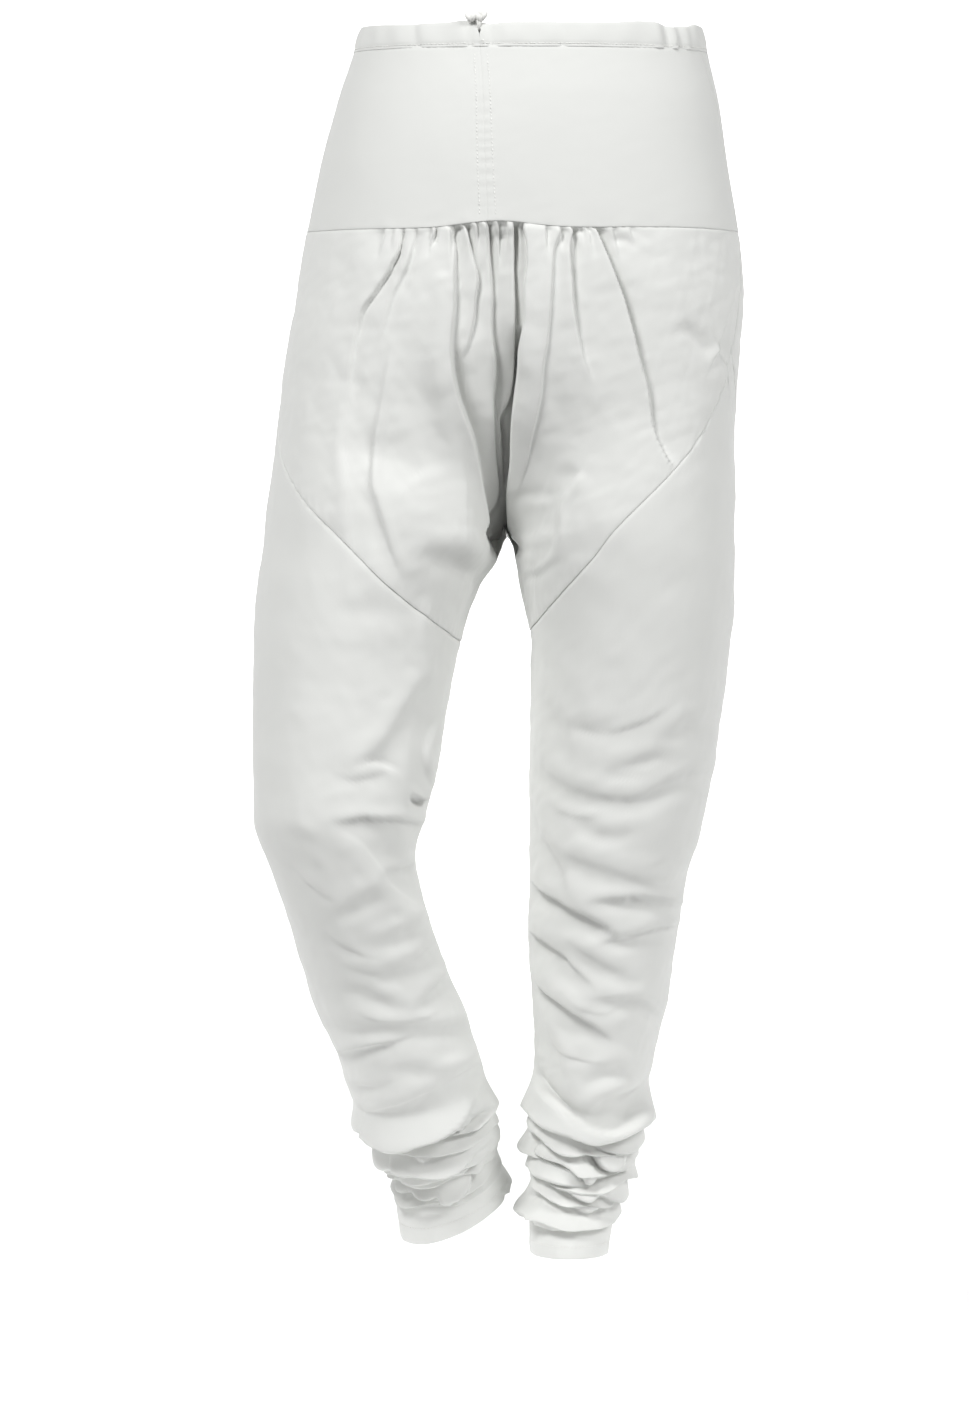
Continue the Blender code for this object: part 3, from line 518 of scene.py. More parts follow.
BACK_FOLDS = (
    Fold(0, 12, 4, 20, 0, 1, ((55, 165, 0.4), (40, 240, 1), (20, 320, 1), (2, 392, 0.6))),
    Fold(
        3, 6.75, 4, 5, 1.5, 2.2,
        ((-92, 157, 0.8), (-98, 176, 1), (-106, 200, 0.9), (-116, 232, 0.6), (-124, 270, 0.3),
         (-128, 310, 0)),
    ),
    Fold(1.8, 4.2, 4, 5, 0, 2, ((-74, 157, 1), (-80, 180, 1), (-88, 212, 0.7), (-94, 250, 0))),
    Fold(
        3.3, 6, 6, 6, 1.8, 1.2,
        ((-54, 157, 1), (-57, 180, 1), (-60, 214, 0.9), (-66, 258, 0.7), (-74, 310, 0.4), (-82, 360, 0)),
    ),
    Fold(
        3.75, 6.75, 5, 5, 2.1, 1,
        ((-34, 157, 1), (-35, 185, 1), (-38, 225, 1), (-42, 268, 0.7), (-46, 320, 0.5), (-44, 360, 0)),
    ),
    Fold(
        3.3, 7.5, 5, 5, 2.25, 0.9,
        ((-14, 157, 1), (-16, 190, 1), (-20, 235, 1), (-24, 285, 0.9), (-28, 335, 0.6), (-26, 380, 0)),
    ),
    Fold(3, 5.25, 4, 4, 1.5, 1.4, ((2, 157, 1), (3, 180, 1), (0, 210, 0.8), (-6, 240, 0))),
    Fold(
        4.5, 9, 6, 6, 2.7, 1,
        ((16, 157, 1), (17, 190, 1), (15, 235, 1), (8, 285, 1), (-2, 335, 0.9), (-10, 385, 0.5)),
    ),
    Fold(
        3.3, 6, 5, 4, 1.8, 1.3,
        ((32, 157, 1), (35, 182, 1), (38, 220, 0.8), (40, 262, 0.5), (38, 310, 0)),
    ),
    Fold(
        3.75, 6.75, 6, 5, 2.25, 1.3,
        ((50, 157, 1), (55, 185, 1), (60, 222, 1), (66, 268, 0.8), (72, 318, 0.5), (74, 360, 0)),
    ),
    Fold(2.1, 3.9, 4, 5, 0, 1.8, ((68, 157, 0.9), (76, 182, 1), (84, 214, 0.7), (92, 250, 0))),
    Fold(
        4.5, 7.5, 7, 5, 2.7, 1.5,
        ((84, 158, 1), (94, 182, 1), (104, 216, 1), (114, 258, 0.8), (120, 302, 0.5), (124, 340, 0)),
    ),
    Fold(
        2.16, 3.24, 8, 9, 0, 1,
        ((-170, 408, 0), (-150, 403, 0.9), (-128, 400, 1), (-104, 405, 1), (-78, 412, 0)),
    ),
    Fold(2.16, 2.97, 8, 9, 0, 1, ((-84, 432, 0), (-66, 424, 1), (-50, 418, 1), (-36, 420, 0))),
    Fold(2.16, 3.24, 8, 9, 0, 1, ((22, 420, 0), (44, 411, 1), (70, 406, 1), (98, 412, 1), (124, 420, 0))),
    Fold(1.76, 2.16, 8, 9, 0, 1, ((-196, 452, 0), (-180, 462, 1), (-166, 482, 1), (-158, 508, 0))),
    Fold(1.89, 2.43, 8, 8, 0, 1, ((120, 440, 0), (112, 468, 1), (108, 498, 0.8), (110, 520, 0))),
    Fold(
        3.24, 4.05, 8, 7, 0.48, 1,
        ((14, 548, 0), (34, 556, 1), (60, 562, 1), (90, 560, 1), (118, 552, 0.3)),
    ),
    Fold(
        4.59, 5.4, 9, 8, 0.96, 1,
        ((6, 590, 0.3), (26, 600, 1), (52, 608, 1), (82, 606, 1), (110, 596, 1), (124, 590, 0.4)),
    ),
    Fold(3.24, 4.05, 7, 7, 0.48, 1, ((40, 626, 0), (62, 630, 1), (86, 628, 1), (112, 618, 0.6))),
    Fold(
        5.4, 6.21, 9, 7, 1.2, 1,
        ((6, 640, 0.4), (24, 650, 1), (50, 656, 1), (78, 652, 1), (104, 642, 0.5)),
    ),
    Fold(2.97, 3.78, 8, 7, 0, 1, ((22, 676, 0), (44, 682, 1), (70, 682, 1), (94, 674, 0.3))),
    Fold(
        4.32, 5.13, 8, 7, 0.72, 1,
        ((4, 700, 0.4), (22, 708, 1), (48, 714, 1), (76, 708, 1), (98, 700, 0.4)),
    ),
    Fold(3.24, 4.05, 7, 7, 0.36, 1, ((30, 738, 0), (50, 744, 1), (72, 742, 1), (90, 734, 0.3))),
    Fold(
        4.59, 5.4, 8, 7, 0.96, 1,
        ((8, 758, 0.4), (28, 768, 1), (54, 772, 1), (78, 764, 0.9), (92, 756, 0.3)),
    ),
    Fold(3.24, 4.05, 7, 7, 0.36, 1, ((20, 792, 0), (42, 796, 1), (66, 794, 1), (82, 786, 0.3))),
    Fold(3.51, 4.32, 9, 8, 0.48, 1, ((-196, 548, 0), (-172, 558, 1), (-144, 562, 1), (-116, 556, 0.4))),
    Fold(
        4.86, 5.94, 9, 8, 1.2, 1,
        ((-204, 586, 0.3), (-182, 598, 1), (-152, 604, 1), (-122, 596, 1), (-104, 586, 0.3)),
    ),
    Fold(2.97, 3.78, 7, 7, 0.36, 1, ((-190, 622, 0), (-164, 632, 1), (-136, 630, 1), (-112, 620, 0))),
    Fold(
        5.4, 6.21, 9, 7, 1.2, 1,
        ((-186, 648, 0.3), (-160, 660, 1), (-132, 662, 1), (-104, 650, 1), (-92, 642, 0.3)),
    ),
    Fold(3.24, 4.05, 8, 7, 0.24, 1, ((-170, 690, 0), (-146, 700, 1), (-120, 700, 1), (-94, 690, 0.3))),
    Fold(
        4.59, 5.4, 8, 7, 0.96, 1,
        ((-164, 716, 0.3), (-142, 726, 1), (-114, 728, 1), (-88, 718, 1), (-76, 710, 0.3)),
    ),
    Fold(3.24, 4.05, 7, 7, 0.24, 1, ((-148, 752, 0), (-126, 760, 1), (-102, 758, 1), (-80, 748, 0.3))),
    Fold(
        4.05, 4.86, 8, 7, 0.6, 1,
        ((-150, 774, 0.3), (-128, 784, 1), (-100, 786, 1), (-72, 776, 1), (-60, 768, 0.3)),
    ),
    Fold(2.7, 3.51, 7, 7, 0.24, 1, ((-134, 800, 0), (-112, 806, 1), (-88, 806, 1), (-64, 798, 0.3))),
)

# Gathers below the yoke seam: where each sinks, how long, deep and wide it is, and its lean in x.
Gather = namedtuple("Gather", "x length depth width lean")
FRONT_GATHERS = (
    Gather(-110.5, 22, 2.1, 2.6, -6),
    Gather(-103, 16, 1.5, 1.8, -4),
    Gather(-95.4, 30, 2.1, 2.4, -8),
    Gather(-85.7, 18, 1.9, 2, -4),
    Gather(-75.1, 24, 2.5, 2, -3),
    Gather(-71.4, 14, 1.7, 1.6, 0),
    Gather(-63.1, 34, 2.7, 2.4, 2),
    Gather(-57, 14, 1.5, 1.6, 1),
    Gather(-50.3, 26, 2.7, 2, 3),
    Gather(-42.8, 20, 2.3, 2, 1),
    Gather(-36, 30, 2.3, 1.8, 1),
    Gather(-26.3, 34, 2.8, 2.4, 1),
    Gather(-19, 18, 1.7, 1.8, 0),
    Gather(-9.7, 30, 2.5, 2.2, 0),
    Gather(-3, 16, 1.9, 1.6, 0),
    Gather(9.8, 28, 2.5, 2.2, 2),
    Gather(19.6, 20, 2.1, 2.2, 2),
    Gather(28.6, 34, 2.7, 2.2, 4),
    Gather(34.6, 16, 1.9, 1.8, 3),
    Gather(39.9, 24, 2.3, 2, 5),
    Gather(48.1, 20, 1.9, 2.2, 6),
    Gather(60.2, 26, 1.9, 2.6, 8),
    Gather(73, 14, 1.1, 2.4, 6),
)
BACK_GATHERS = (
    Gather(-98, 20, 1.7, 2.4, -7),
    Gather(-82, 28, 2.1, 2.4, -6),
    Gather(-70, 16, 1.7, 1.8, -5),
    Gather(-62, 30, 2.5, 2.2, -4),
    Gather(-50, 18, 1.9, 2, -3),
    Gather(-41, 34, 2.7, 2.4, -3),
    Gather(-33, 16, 1.7, 1.6, -2),
    Gather(-24, 30, 2.7, 2.2, -1),
    Gather(-15, 22, 2.1, 2, 0),
    Gather(-4, 34, 2.7, 2.2, 0),
    Gather(5, 18, 1.9, 1.8, 0),
    Gather(14, 30, 2.7, 2.2, 1),
    Gather(25, 20, 2.3, 2, 1),
    Gather(33, 34, 2.7, 2.2, 2),
    Gather(44, 20, 2.1, 2, 3),
    Gather(52, 30, 2.5, 2.2, 4),
    Gather(63, 16, 1.7, 1.8, 5),
    Gather(74, 28, 2.3, 2.4, 6),
    Gather(90, 22, 1.9, 2.4, 7),
    Gather(106, 18, 1.5, 2.6, 8),
)

# The bangles of cloth stacked over each ankle. The four sides give the drop of a bangle's lower edge
# there, and then how far the cloth rolls out above that edge. The first row is the top of the stack.
Bangle = namedtuple("Bangle", "inner front outer back out_inner out_front out_outer out_back")
BANGLES = {
    LEFT: (
        Bangle(800, 824, 806, 812, 0, 0, 0, 0),
        Bangle(828, 842, 834, 836, 9, 6, 9, 6),
        Bangle(841, 856, 851, 850, 3, 5, 5, 6),
        Bangle(857, 870, 865, 864, 10, 6, 4, 6),
        Bangle(874, 883, 880, 879, 5, 6, 7, 6),
        Bangle(885, 898, 895, 893, 0, 5, 5, 6),
        Bangle(907, 916, 911, 909, 12, 5, 4, 6),
    ),
    RIGHT: (
        Bangle(812, 812, 812, 812, 0, 0, 0, 0),
        Bangle(834, 833, 830, 830, 8, 11, 7, 6),
        Bangle(847, 843, 843, 845, 4, 9, 5, 6),
        Bangle(859, 859, 857, 858, 4, 12, 5, 6),
        Bangle(870, 869, 866, 869, 1, 9, 5, 5),
        Bangle(879, 881, 873, 879, 1, 10, 5, 5),
        Bangle(887, 888, 882, 888, 1, 6, 4, 4),
    ),
}
BANGLE_CREST = 1.35
BANGLE_HANG = 0.46
FRONT_CALM = 0.35

# Short turns of cord round the knot's foot.
KnotTurn = namedtuple("KnotTurn", "x height lean thickness")
KNOT_TURNS = (
    KnotTurn(-6.2, -1.8, 3.4, 1.8),
    KnotTurn(-2.6, -1.2, -2.6, 2.1),
    KnotTurn(1.8, -1.6, 3.0, 2.2),
    KnotTurn(5.6, -0.6, -3.2, 1.9),
)
KNOT_RADIUS = 2.3

# The top edge of the casing as worn: where it lifts, by how much, and over what width.
Wave = namedtuple("Wave", "x lift width")
CASING_WAVES = (
    Wave(-51, 1.6, 9),
    Wave(-30, -1.2, 8),
    Wave(84, 1.6, 16),
    Wave(107, -2.6, 6),
    Wave(119, -1.4, 5),
    Wave(126, 1.2, 4),
    Wave(-96, -0.8, 14),
)

# The creases that the drawstring draws up in the casing at its slit and at the left front.
Crease = namedtuple("Crease", "x depth width")
CORD_CREASES = (
    Crease(103, 1.7, 2.4),
    Crease(108.5, -1.2, 2.0),
    Crease(114, 1.5, 2.2),
    Crease(119.5, -0.9, 2.0),
    Crease(96, -0.8, 3.0),
    Crease(-31, 1.0, 2.0),
    Crease(-48, 0.9, 2.2),
    Crease(-20, -0.6, 3.0),
    Crease(-88, 0.8, 2.6),
    Crease(22, 0.7, 3.0),
)

# The casing: how far its face swells, how deep it is, the radius of its folded top, and its slit.
CASING_PUFF = 0.9
CASING_DEPTH = 3.2
CASING_FOLD = 1.6
CASING_STITCHES_UP = 2.4
SLIT_CLOSED = 0.03
SLIT_OPEN = 1.3
SLIT_DROP = -3.5
SLIT_HEIGHT = 2.4

# Densities of the grids: columns and rows.
LEG_GRID = (150, 188)
ROLL_ROWS = 15
ANKLE_ROWS = 14
FRONT_GRID = (208, 124)
BACK_GRID = (104, 76)
YOKE_GRID = (76, 66)
CASING_COLUMNS = 150
CROWDING = 0.62

PEAK_X = -26.0
PEAK_DRAW = 6.0
PEAK_WIDTH = 38.0
PEAK_ENDS = 140.0
GATHERS_START = 3.5
EDGE = 0.75
FULL_LAP = 1.2

CLOTH_THICKNESS = 0.7
SEAM_SINK = 0.4
SEAM_ROUND = 0.9
TUCK = 1.6
TUCK_DEPTH = 0.6
HEM_TURN = 11.0
HEM_DEPTH = 1.5
CENTRE_STITCHES_AWAY = 5.6
SLANT_LEAN = 0.75
ROUND_HALF_THE_HIPS = 480.0
ROUND_THE_THIGH = 520
ROUND_THE_ANKLE = 210

# The studio: its soft lights, with sizes in metres and watts, and how much its papers and air glow.
Light = namedtuple("Light", "name place size watts")
LIGHTS = (
    Light("key", (-1.7, -2.4, 2.2), (1.1, 1.1), 115),
    Light("fill", (2.2, -2.1, 1.3), (1.3, 1.3), 66),
)
LIGHTS_AIM = (0, 0, -0.5)
FLOOR_GLOW = 0.36
BACKDROP_GLOW = 1.1
SKY_STRENGTH = 0.23


def linear(colour):
    """An sRGB hex colour as linear red, green and blue."""
    channels = [int(colour[i : i + 2], 16) / 255 for i in (0, 2, 4)]
    return [c / 12.92 if c <= 0.04045 else ((c + 0.055) / 1.055) ** 2.4 for c in channels]


def smooth(share):
    """0 to 1 with no corner at either end."""
    share = np.clip(share, 0.0, 1.0)
    return share * share * (3.0 - 2.0 * share)


def bump(distance, width):
    """1 at no distance, fading softly to 0 over about twice the width."""
    return np.exp(-((distance / width) ** 2))


def follow(rows, name, drop):
    """One column of a section table as a smooth curve that never swings past its rows."""
    drops = np.array([row.drop for row in rows], float)
    values = np.array([getattr(row, name) for row in rows], float)
    rises = np.diff(values) / np.diff(drops)
    above, below = rises[:-1], rises[1:]
    alike = above * below > 0
    between = np.where(alike, 2 * above * below / np.where(alike, above + below, 1), 0)
    slopes = np.concatenate([rises[:1], between, rises[-1:]])
    drop = np.clip(drop, drops[0], drops[-1])
    i = np.clip(np.searchsorted(drops, drop) - 1, 0, len(rows) - 2)
    step = drops[i + 1] - drops[i]
    s = (drop - drops[i]) / step
    return (
        values[i] * (1 + 2 * s) * (1 - s) ** 2
        + slopes[i] * step * s * (1 - s) ** 2
        + values[i + 1] * s**2 * (3 - 2 * s)
        + slopes[i + 1] * step * s**2 * (s - 1)
    )


def around(inner, front, outer, back, turn):
    """A value round the leg that passes through its four sides."""
    angle = 2 * math.pi * turn
    return (
        (inner + front + outer + back) / 4
        + (inner - outer) / 2 * np.cos(angle)
        + (front - back) / 2 * np.sin(angle)
        + (inner + outer - front - back) / 4 * np.cos(2 * angle)
    )


def hip_points(side, turn, drop):
    level = np.minimum(drop, CROTCH)
    angle = side * math.pi * turn - np.radians(follow(HIPS, "facing", level))
    full = follow(HIPS, "full", level)
    reach = (np.abs(np.sin(angle)) ** full + np.abs(np.cos(angle)) ** full) ** (-1 / full)
    ahead = np.cos(angle) * reach
    depth = np.where(ahead > 0, follow(HIPS, "front", level), follow(HIPS, "back", level))
    x = follow(HIPS, "centre", level) + follow(HIPS, "half_width", level) * np.sin(angle) * reach
    dip = FRONT_DIP * np.clip(ahead, 0, 1) * np.clip(1 - drop / FRONT_DIP_ENDS, 0, None)
    return np.stack([x, -depth * ahead, -drop - dip], axis=-1)


def leg_points(side, turn, drop):
    rows = LEGS[side]
    angle = 2 * math.pi * turn
    inner, outer = follow(rows, "inner", drop), follow(rows, "outer", drop)
    front, back = follow(rows, "front", drop), follow(rows, "back", drop)
    across = (inner - outer) / 2 * np.cos(angle)
    along = (front - back) / 2 * np.sin(angle)
    tilt = across * np.sin(np.radians(follow(rows, "roll", drop)))
    tilt += along * np.sin(np.radians(follow(rows, "pitch", drop)))
    return np.stack([(inner + outer) / 2 + across, (front + back) / 2 + along, tilt - drop], axis=-1)


def near_seam(turn):
    """1 on the centre seams and the inseam, fading to 0 round the leg."""
    return bump(np.minimum(np.abs(turn), np.abs(1 - turn)), SEAM_REACH)


def plain_points(side, turn, drop):
    """The surface without its creases: the hips part into two legs, in a U from front to back."""
    share = np.clip((drop - LEGS_START) / (CROTCH - LEGS_START), 0, 1)
    near = near_seam(turn)
    parted = near * (1 - np.sqrt(1 - share**2)) + (1 - near) * smooth(share) ** PARTING_LAG
    parted = parted[..., None]
    return (1 - parted) * hip_points(side, turn, drop) + parted * leg_points(side, turn, drop)


def outward(points_of, side, turn, drop):
    """Unit normals of a surface, pointing out of the trousers."""
    turn_step, drop_step = 0.002, 1.0
    across = points_of(side, turn + turn_step, drop) - points_of(side, turn - turn_step, drop)
    down = points_of(side, turn, drop + drop_step) - points_of(side, turn, drop - drop_step)
    normal = -side * np.cross(across, down)
    return normal / np.linalg.norm(normal, axis=-1, keepdims=True)


def fold_line(path, steps=5):
    """The points of a fold joined by a smooth curve of x, drop and share."""
    points = np.array(path, float)
    first, last = 2 * points[:1] - points[1:2], 2 * points[-1:] - points[-2:-1]
    ends = np.concatenate([first, points, last])
    t = np.linspace(0, 1, steps, endpoint=False)[:, None]
    line = []
    for a, b, c, d in zip(ends[:-3], ends[1:-2], ends[2:-1], ends[3:]):
        curve = 2 * b + (c - a) * t + (2 * a - 5 * b + 4 * c - d) * t**2 + (3 * b - 3 * c + d - a) * t**3
        line.append(curve / 2)
    return np.concatenate(line + [points[-1:]])


def fold_push(fold, x, drop):
    """How far a fold pushes each point out, in x and down, with the mask of the points it reaches."""
    line = fold_line(fold.path)
    past_end = 8.0
    reach = 3.2 * max(fold.before, fold.after) * max(1, fold.widen) + past_end
    low, high = line[:, :2].min(axis=0) - reach, line[:, :2].max(axis=0) + reach
    near = (x > low[0]) & (x < high[0]) & (drop > low[1]) & (drop < high[1])
    px, pd = x[near], drop[near]
    nearest = np.full(px.shape, np.inf)
    signed, share, place, excess = (np.zeros(px.shape) for _ in range(4))
    across_x, across_drop = np.zeros(px.shape), np.zeros(px.shape)
    lengths = np.linalg.norm(np.diff(line[:, :2], axis=0), axis=1)
    total = lengths.sum()
    start = 0.0
    for i, length in enumerate(lengths):
        a, b = line[i], line[i + 1]
        ux, ud = (b[:2] - a[:2]) / length
        from_a = past_end if i == 0 else 0.0
        past_b = past_end if i == len(lengths) - 1 else 0.0
        along = np.clip((px - a[0]) * ux + (pd - a[1]) * ud, -from_a, length + past_b)
        dx, dd = px - a[0] - along * ux, pd - a[1] - along * ud
        away = np.hypot(dx, dd)
        nearer = away < nearest
        nearest = np.where(nearer, away, nearest)
        turned = ux * dd - ud * dx
        within = np.clip(along / length, 0, 1)
        signed = np.where(nearer, np.where(turned > 0, away, -away), signed)
        share = np.where(nearer, a[2] + (b[2] - a[2]) * within, share)
        place = np.where(nearer, (start + within * length) / total, place)
        excess = np.where(nearer, np.abs(along - within * length), excess)
        across_x = np.where(nearer, -ud, across_x)
        across_drop = np.where(nearer, ux, across_drop)
        start += length
    share = np.clip(share, 0, None) * bump(excess, 0.7 * past_end)
    wider = 1 + (fold.widen - 1) * place
    before, after = fold.before * wider, fold.after * wider
    soft = fold.rise * bump(signed + before, before) - fold.sink * bump(signed - after, after)
    # A lapped fold has an edge that overhangs its hollow.
    beyond = 0.5 + 0.5 * np.tanh(signed / EDGE)
    ridge = fold.rise * np.exp(-(np.abs(signed) / (1.5 * before)) ** 1.5)
    hollow = fold.sink * np.exp(-(np.abs(signed) / (1.5 * after)) ** 1.3)
    crisp = ridge * (1 - beyond) - hollow * beyond
    sharp = min(1.0, fold.lap / FULL_LAP) ** 2
    out = share * ((1 - sharp) * soft + sharp * crisp)
    slide = share * fold.lap * (1 - beyond) * np.exp(-np.abs(signed) / (1.2 * before + 2 * fold.lap))
    return near, out, slide * across_x, slide * across_drop


def gather_fold(gather):
    """A gather as a short crisp fold from the yoke's seam, hollow on the side that it leans to."""
    top, bottom = YOKE_BOTTOM - 2, YOKE_BOTTOM + 6 + gather.length
    middle = (gather.x + 0.4 * gather.lean, YOKE_BOTTOM + 6 + 0.4 * gather.length, 0.6)
    path = ((gather.x, top, 1), (gather.x, YOKE_BOTTOM + 6, 1), middle, (gather.x + gather.lean, bottom, 0))
    if gather.lean > 0:
        path = path[::-1]
    spread = 2.0 if gather.lean <= 0 else 0.5
    width = gather.width / min(1, spread) * 0.9
    return Fold(0.5 * gather.depth, 1.9 * gather.depth, width, width, 1.3, spread, path)


def ripples(points, seed, length, count=14):
    """A soft unevenness of the cloth: crossing waves about as long as given, each way up to about 1."""
    draw = np.random.default_rng(seed)
    total = np.zeros(points.shape[:-1])
    for _ in range(count):
        way = draw.normal(size=3) * (0.8, 0.8, 1.15)
        wave = 2 * math.pi / (length * draw.uniform(0.7, 1.6))
        bend = 6 * np.sin(points @ draw.normal(size=3) * wave / 3.1)
        total += np.sin((points @ (way / np.linalg.norm(way)) + bend) * wave + draw.uniform(0, 6.3))
    return total / math.sqrt(count)


def drawn_down(points):
    """How far the gathers draw the yoke's lower seam down beside its peak at the centre front."""
    away = points[..., 0] - PEAK_X
    ahead = smooth(-points[..., 1] / 60)
    return PEAK_DRAW * ahead * (1 - bump(away, PEAK_WIDTH)) * bump(away, PEAK_ENDS)


def relief(points, normals):
    """How far the folds and gathers push each point out, and how far they slide it along the cloth."""
    x, drop = points[..., 0], -points[..., 2]
    facing = -normals[..., 1]
    out = np.zeros(x.shape)
    slid = np.zeros(points.shape)
    sights = ((FRONT_FOLDS, FRONT_GATHERS, facing), (BACK_FOLDS, BACK_GATHERS, -facing))
    for folds, gathers, ahead in sights:
        seen = smooth(ahead / 0.5 + 0.15)
        for fold in folds + tuple(gather_fold(gather) for gather in gathers):
            near, push, slide_x, slide_drop = fold_push(fold, x, drop)
            out[near] += seen[near] * push
            slid[near, 0] += seen[near] * slide_x
            slid[near, 2] -= seen[near] * slide_drop
    started = smooth((drop - YOKE_BOTTOM - 1.2 - drawn_down(points)) / GATHERS_START)
    out *= started
    slid *= started[..., None]
    slid -= (slid * normals).sum(axis=-1, keepdims=True) * normals
    calm = 1 - 0.75 * smooth((YOKE_BOTTOM + 8 - drop) / 16)
    out += calm * (0.55 * ripples(points, 3, 46) + 0.22 * ripples(points, 8, 19))
    return out, slid


def bangle_edges(side, turn):
    """The drops of the bangles' edges at each turn: uneven, as cloth is that was pushed up."""
    angle = 2 * math.pi * turn
    edges = []
    for i, b in enumerate(BANGLES[side]):
        wander = 1.4 * np.sin(3 * angle + 2.1 * i + side) + 0.9 * np.sin(5 * angle + 4.3 * i)
        edges.append(around(b.inner, b.front, b.outer, b.back, turn) + (wander if i else 0))
    return edges


def rolled(side, turn, drop):
    """How far the bangles over the ankle roll each point out, and how far they let it hang."""
    edges = bangle_edges(side, turn)
    out = np.zeros(np.shape(drop))
    hang = np.zeros(np.shape(drop))
    for upper, lower, b in zip(edges[:-1], edges[1:], BANGLES[side][1:]):
        share = np.clip((drop - upper) / (lower - upper), 0, 1)
        height = around(b.out_inner, b.out_front, b.out_outer, b.out_back, turn)
        ahead = np.clip(np.sin(2 * math.pi * turn), 0, 1)
        height = np.clip(height * (1 - FRONT_CALM * ahead), 1.2, None)
        out += height * np.sin(math.pi * share**BANGLE_CREST)
        hang += BANGLE_HANG * (lower - upper) * np.sin(math.pi * share) * smooth(height / 4)
    return out, hang


def seam_normals(side, turn, drop):
    """Outward normals that both sides share along the centre seams, so that neither crosses the other."""
    normals = outward(plain_points, side, turn, drop)
    level = (near_seam(turn) * smooth((CROTCH - drop) / 20 + 1))[..., None]
    mixed = (1 - level) * normals + level * outward(hip_points, side, turn, drop)
    return mixed / np.linalg.norm(mixed, axis=-1, keepdims=True)


def cloth_points(side, turn, drop, extra=0.0):
    """The outer face of the dressed cloth, in millimetres. extra pushes it out further."""
    points = plain_points(side, turn, drop)
    normals = seam_normals(side, turn, drop)
    out, slid = relief(points, normals)
    roll, hang = rolled(side, turn, drop)
    points = points + normals * (out + roll + extra)[..., None] + slid
    points[..., 2] -= hang
    return points


def yoke_drop(side, turn):
    """The drop of the yoke's lower seam."""
    return YOKE_BOTTOM + drawn_down(plain_points(side, turn, np.full(np.shape(turn), YOKE_BOTTOM)))


def slant_drop(side, turn):
    """The drop of the slanting seam at each turn."""
    seam = SLANTS[side]
    front = turn / seam.peak_turn
    back = (1 - turn) / (1 - seam.peak_turn)
    share = np.clip(np.minimum(front, back), 0, 1)
    return seam.peak_drop + (seam.inseam_drop - seam.peak_drop) * (1 - share**seam.rise)


def lengths_along(points, axis):
    """How far along the grid each point is, measured over the cloth."""
    steps = np.linalg.norm(np.diff(points, axis=axis), axis=-1)
    pad = [(1, 0), (0, 0)] if axis == 0 else [(0, 0), (1, 0)]
    return np.pad(np.cumsum(steps, axis=axis), pad)


def flat_pattern(side, turns, drops):
    """Where each point lies in the flat cloth, in metres: round the body and down it."""
    plain = plain_points(side, turns, drops)
    roll, hang = rolled(side, turns, drops)
    full = plain + roll[..., None] * outward(plain_points, side, turns, drops)
    full[..., 2] -= hang
    u = lengths_along(plain, 1)
    u -= u[:, u.shape[1] // 2][:, None]
    v = lengths_along(full, 0) + drops[:1]
    return np.stack([u, -v], axis=-1) * MM


def cloth_sheet(name, points, flat, material, closed=False, inside=None, thickness=CLOTH_THICKNESS):
    """A shell of cloth: a grid laid on its points, with its flat pattern as UV map. inside is an axis
    that the shell faces away from. Without one, it is the middle of each row."""
    rows, columns = points.shape[:2]
    grid = bmesh.new()
    bmesh.ops.create_grid(grid, x_segments=columns - 1, y_segments=rows - 1, size=0.5, calc_uvs=True)
    layer = grid.loops.layers.uv.verify()
    flat_points = points.reshape(-1, 3) * MM
    flat_uv = flat.reshape(-1, 2)
    for vert in grid.verts:
        column = round((vert.co.x + 0.5) * (columns - 1))
        row = round((0.5 - vert.co.y) * (rows - 1))
        vert.index = row * columns + column
    for face in grid.faces:
        for loop in face.loops:
            loop[layer].uv = flat_uv[loop.vert.index]
    for vert in grid.verts:
        vert.co = flat_points[vert.index]
    if closed:
        bmesh.ops.remove_doubles(grid, verts=grid.verts, dist=2e-6)
    grid.normal_update()
    middle = points.mean(axis=1, keepdims=True) if inside is None else inside
    away = 0.0
    faces = list(grid.faces)
    step = max(1, len(faces) // 900)
    centres = np.atleast_2d(np.asarray(middle).reshape(-1, 3)) * MM
    for face in faces[::step]:
        centre = face.calc_center_median()
        i = np.argmin(np.abs(centres[:, 2] - centre.z))
        away += face.normal.dot(centre - type(centre)(centres[i]))
    if away < 0:
        bmesh.ops.reverse_faces(grid, faces=grid.faces)
    mesh = bpy.data.meshes.new(name)
    grid.to_mesh(mesh)
    grid.free()
    mesh.shade_smooth()
    mesh.materials.append(material)
    piece = bpy.data.objects.new(name, mesh)
    bpy.context.scene.collection.objects.link(piece)
    if thickness:
        solid = piece.modifiers.new("Cloth thickness", "SOLIDIFY")
        solid.thickness = thickness * MM
        solid.offset = -1
    return piece


def crowded(count):
    """Shares from 0 to 1 that lie closer together near 0."""
    even = np.linspace(0, 1, count + 1)
    return (1 - CROWDING) * even + CROWDING * even**2


def edge_shares(rows):
    """Rows from 0 to 1 with two close rows at each end for the rounding of the seams."""
    even = np.linspace(0, 1, rows + 1)
    return np.sort(np.concatenate([even, [0.25 / rows, 0.55 / rows, 1 - 0.55 / rows, 1 - 0.25 / rows]]))


def seam_sink(distance, tucked):
    """How far the cloth curls in at this distance from a seam, more where it is tucked under."""
    depth = SEAM_SINK + (TUCK_DEPTH if tucked else 0.0)
    return -depth * bump(np.clip(distance, 0, None), SEAM_ROUND)


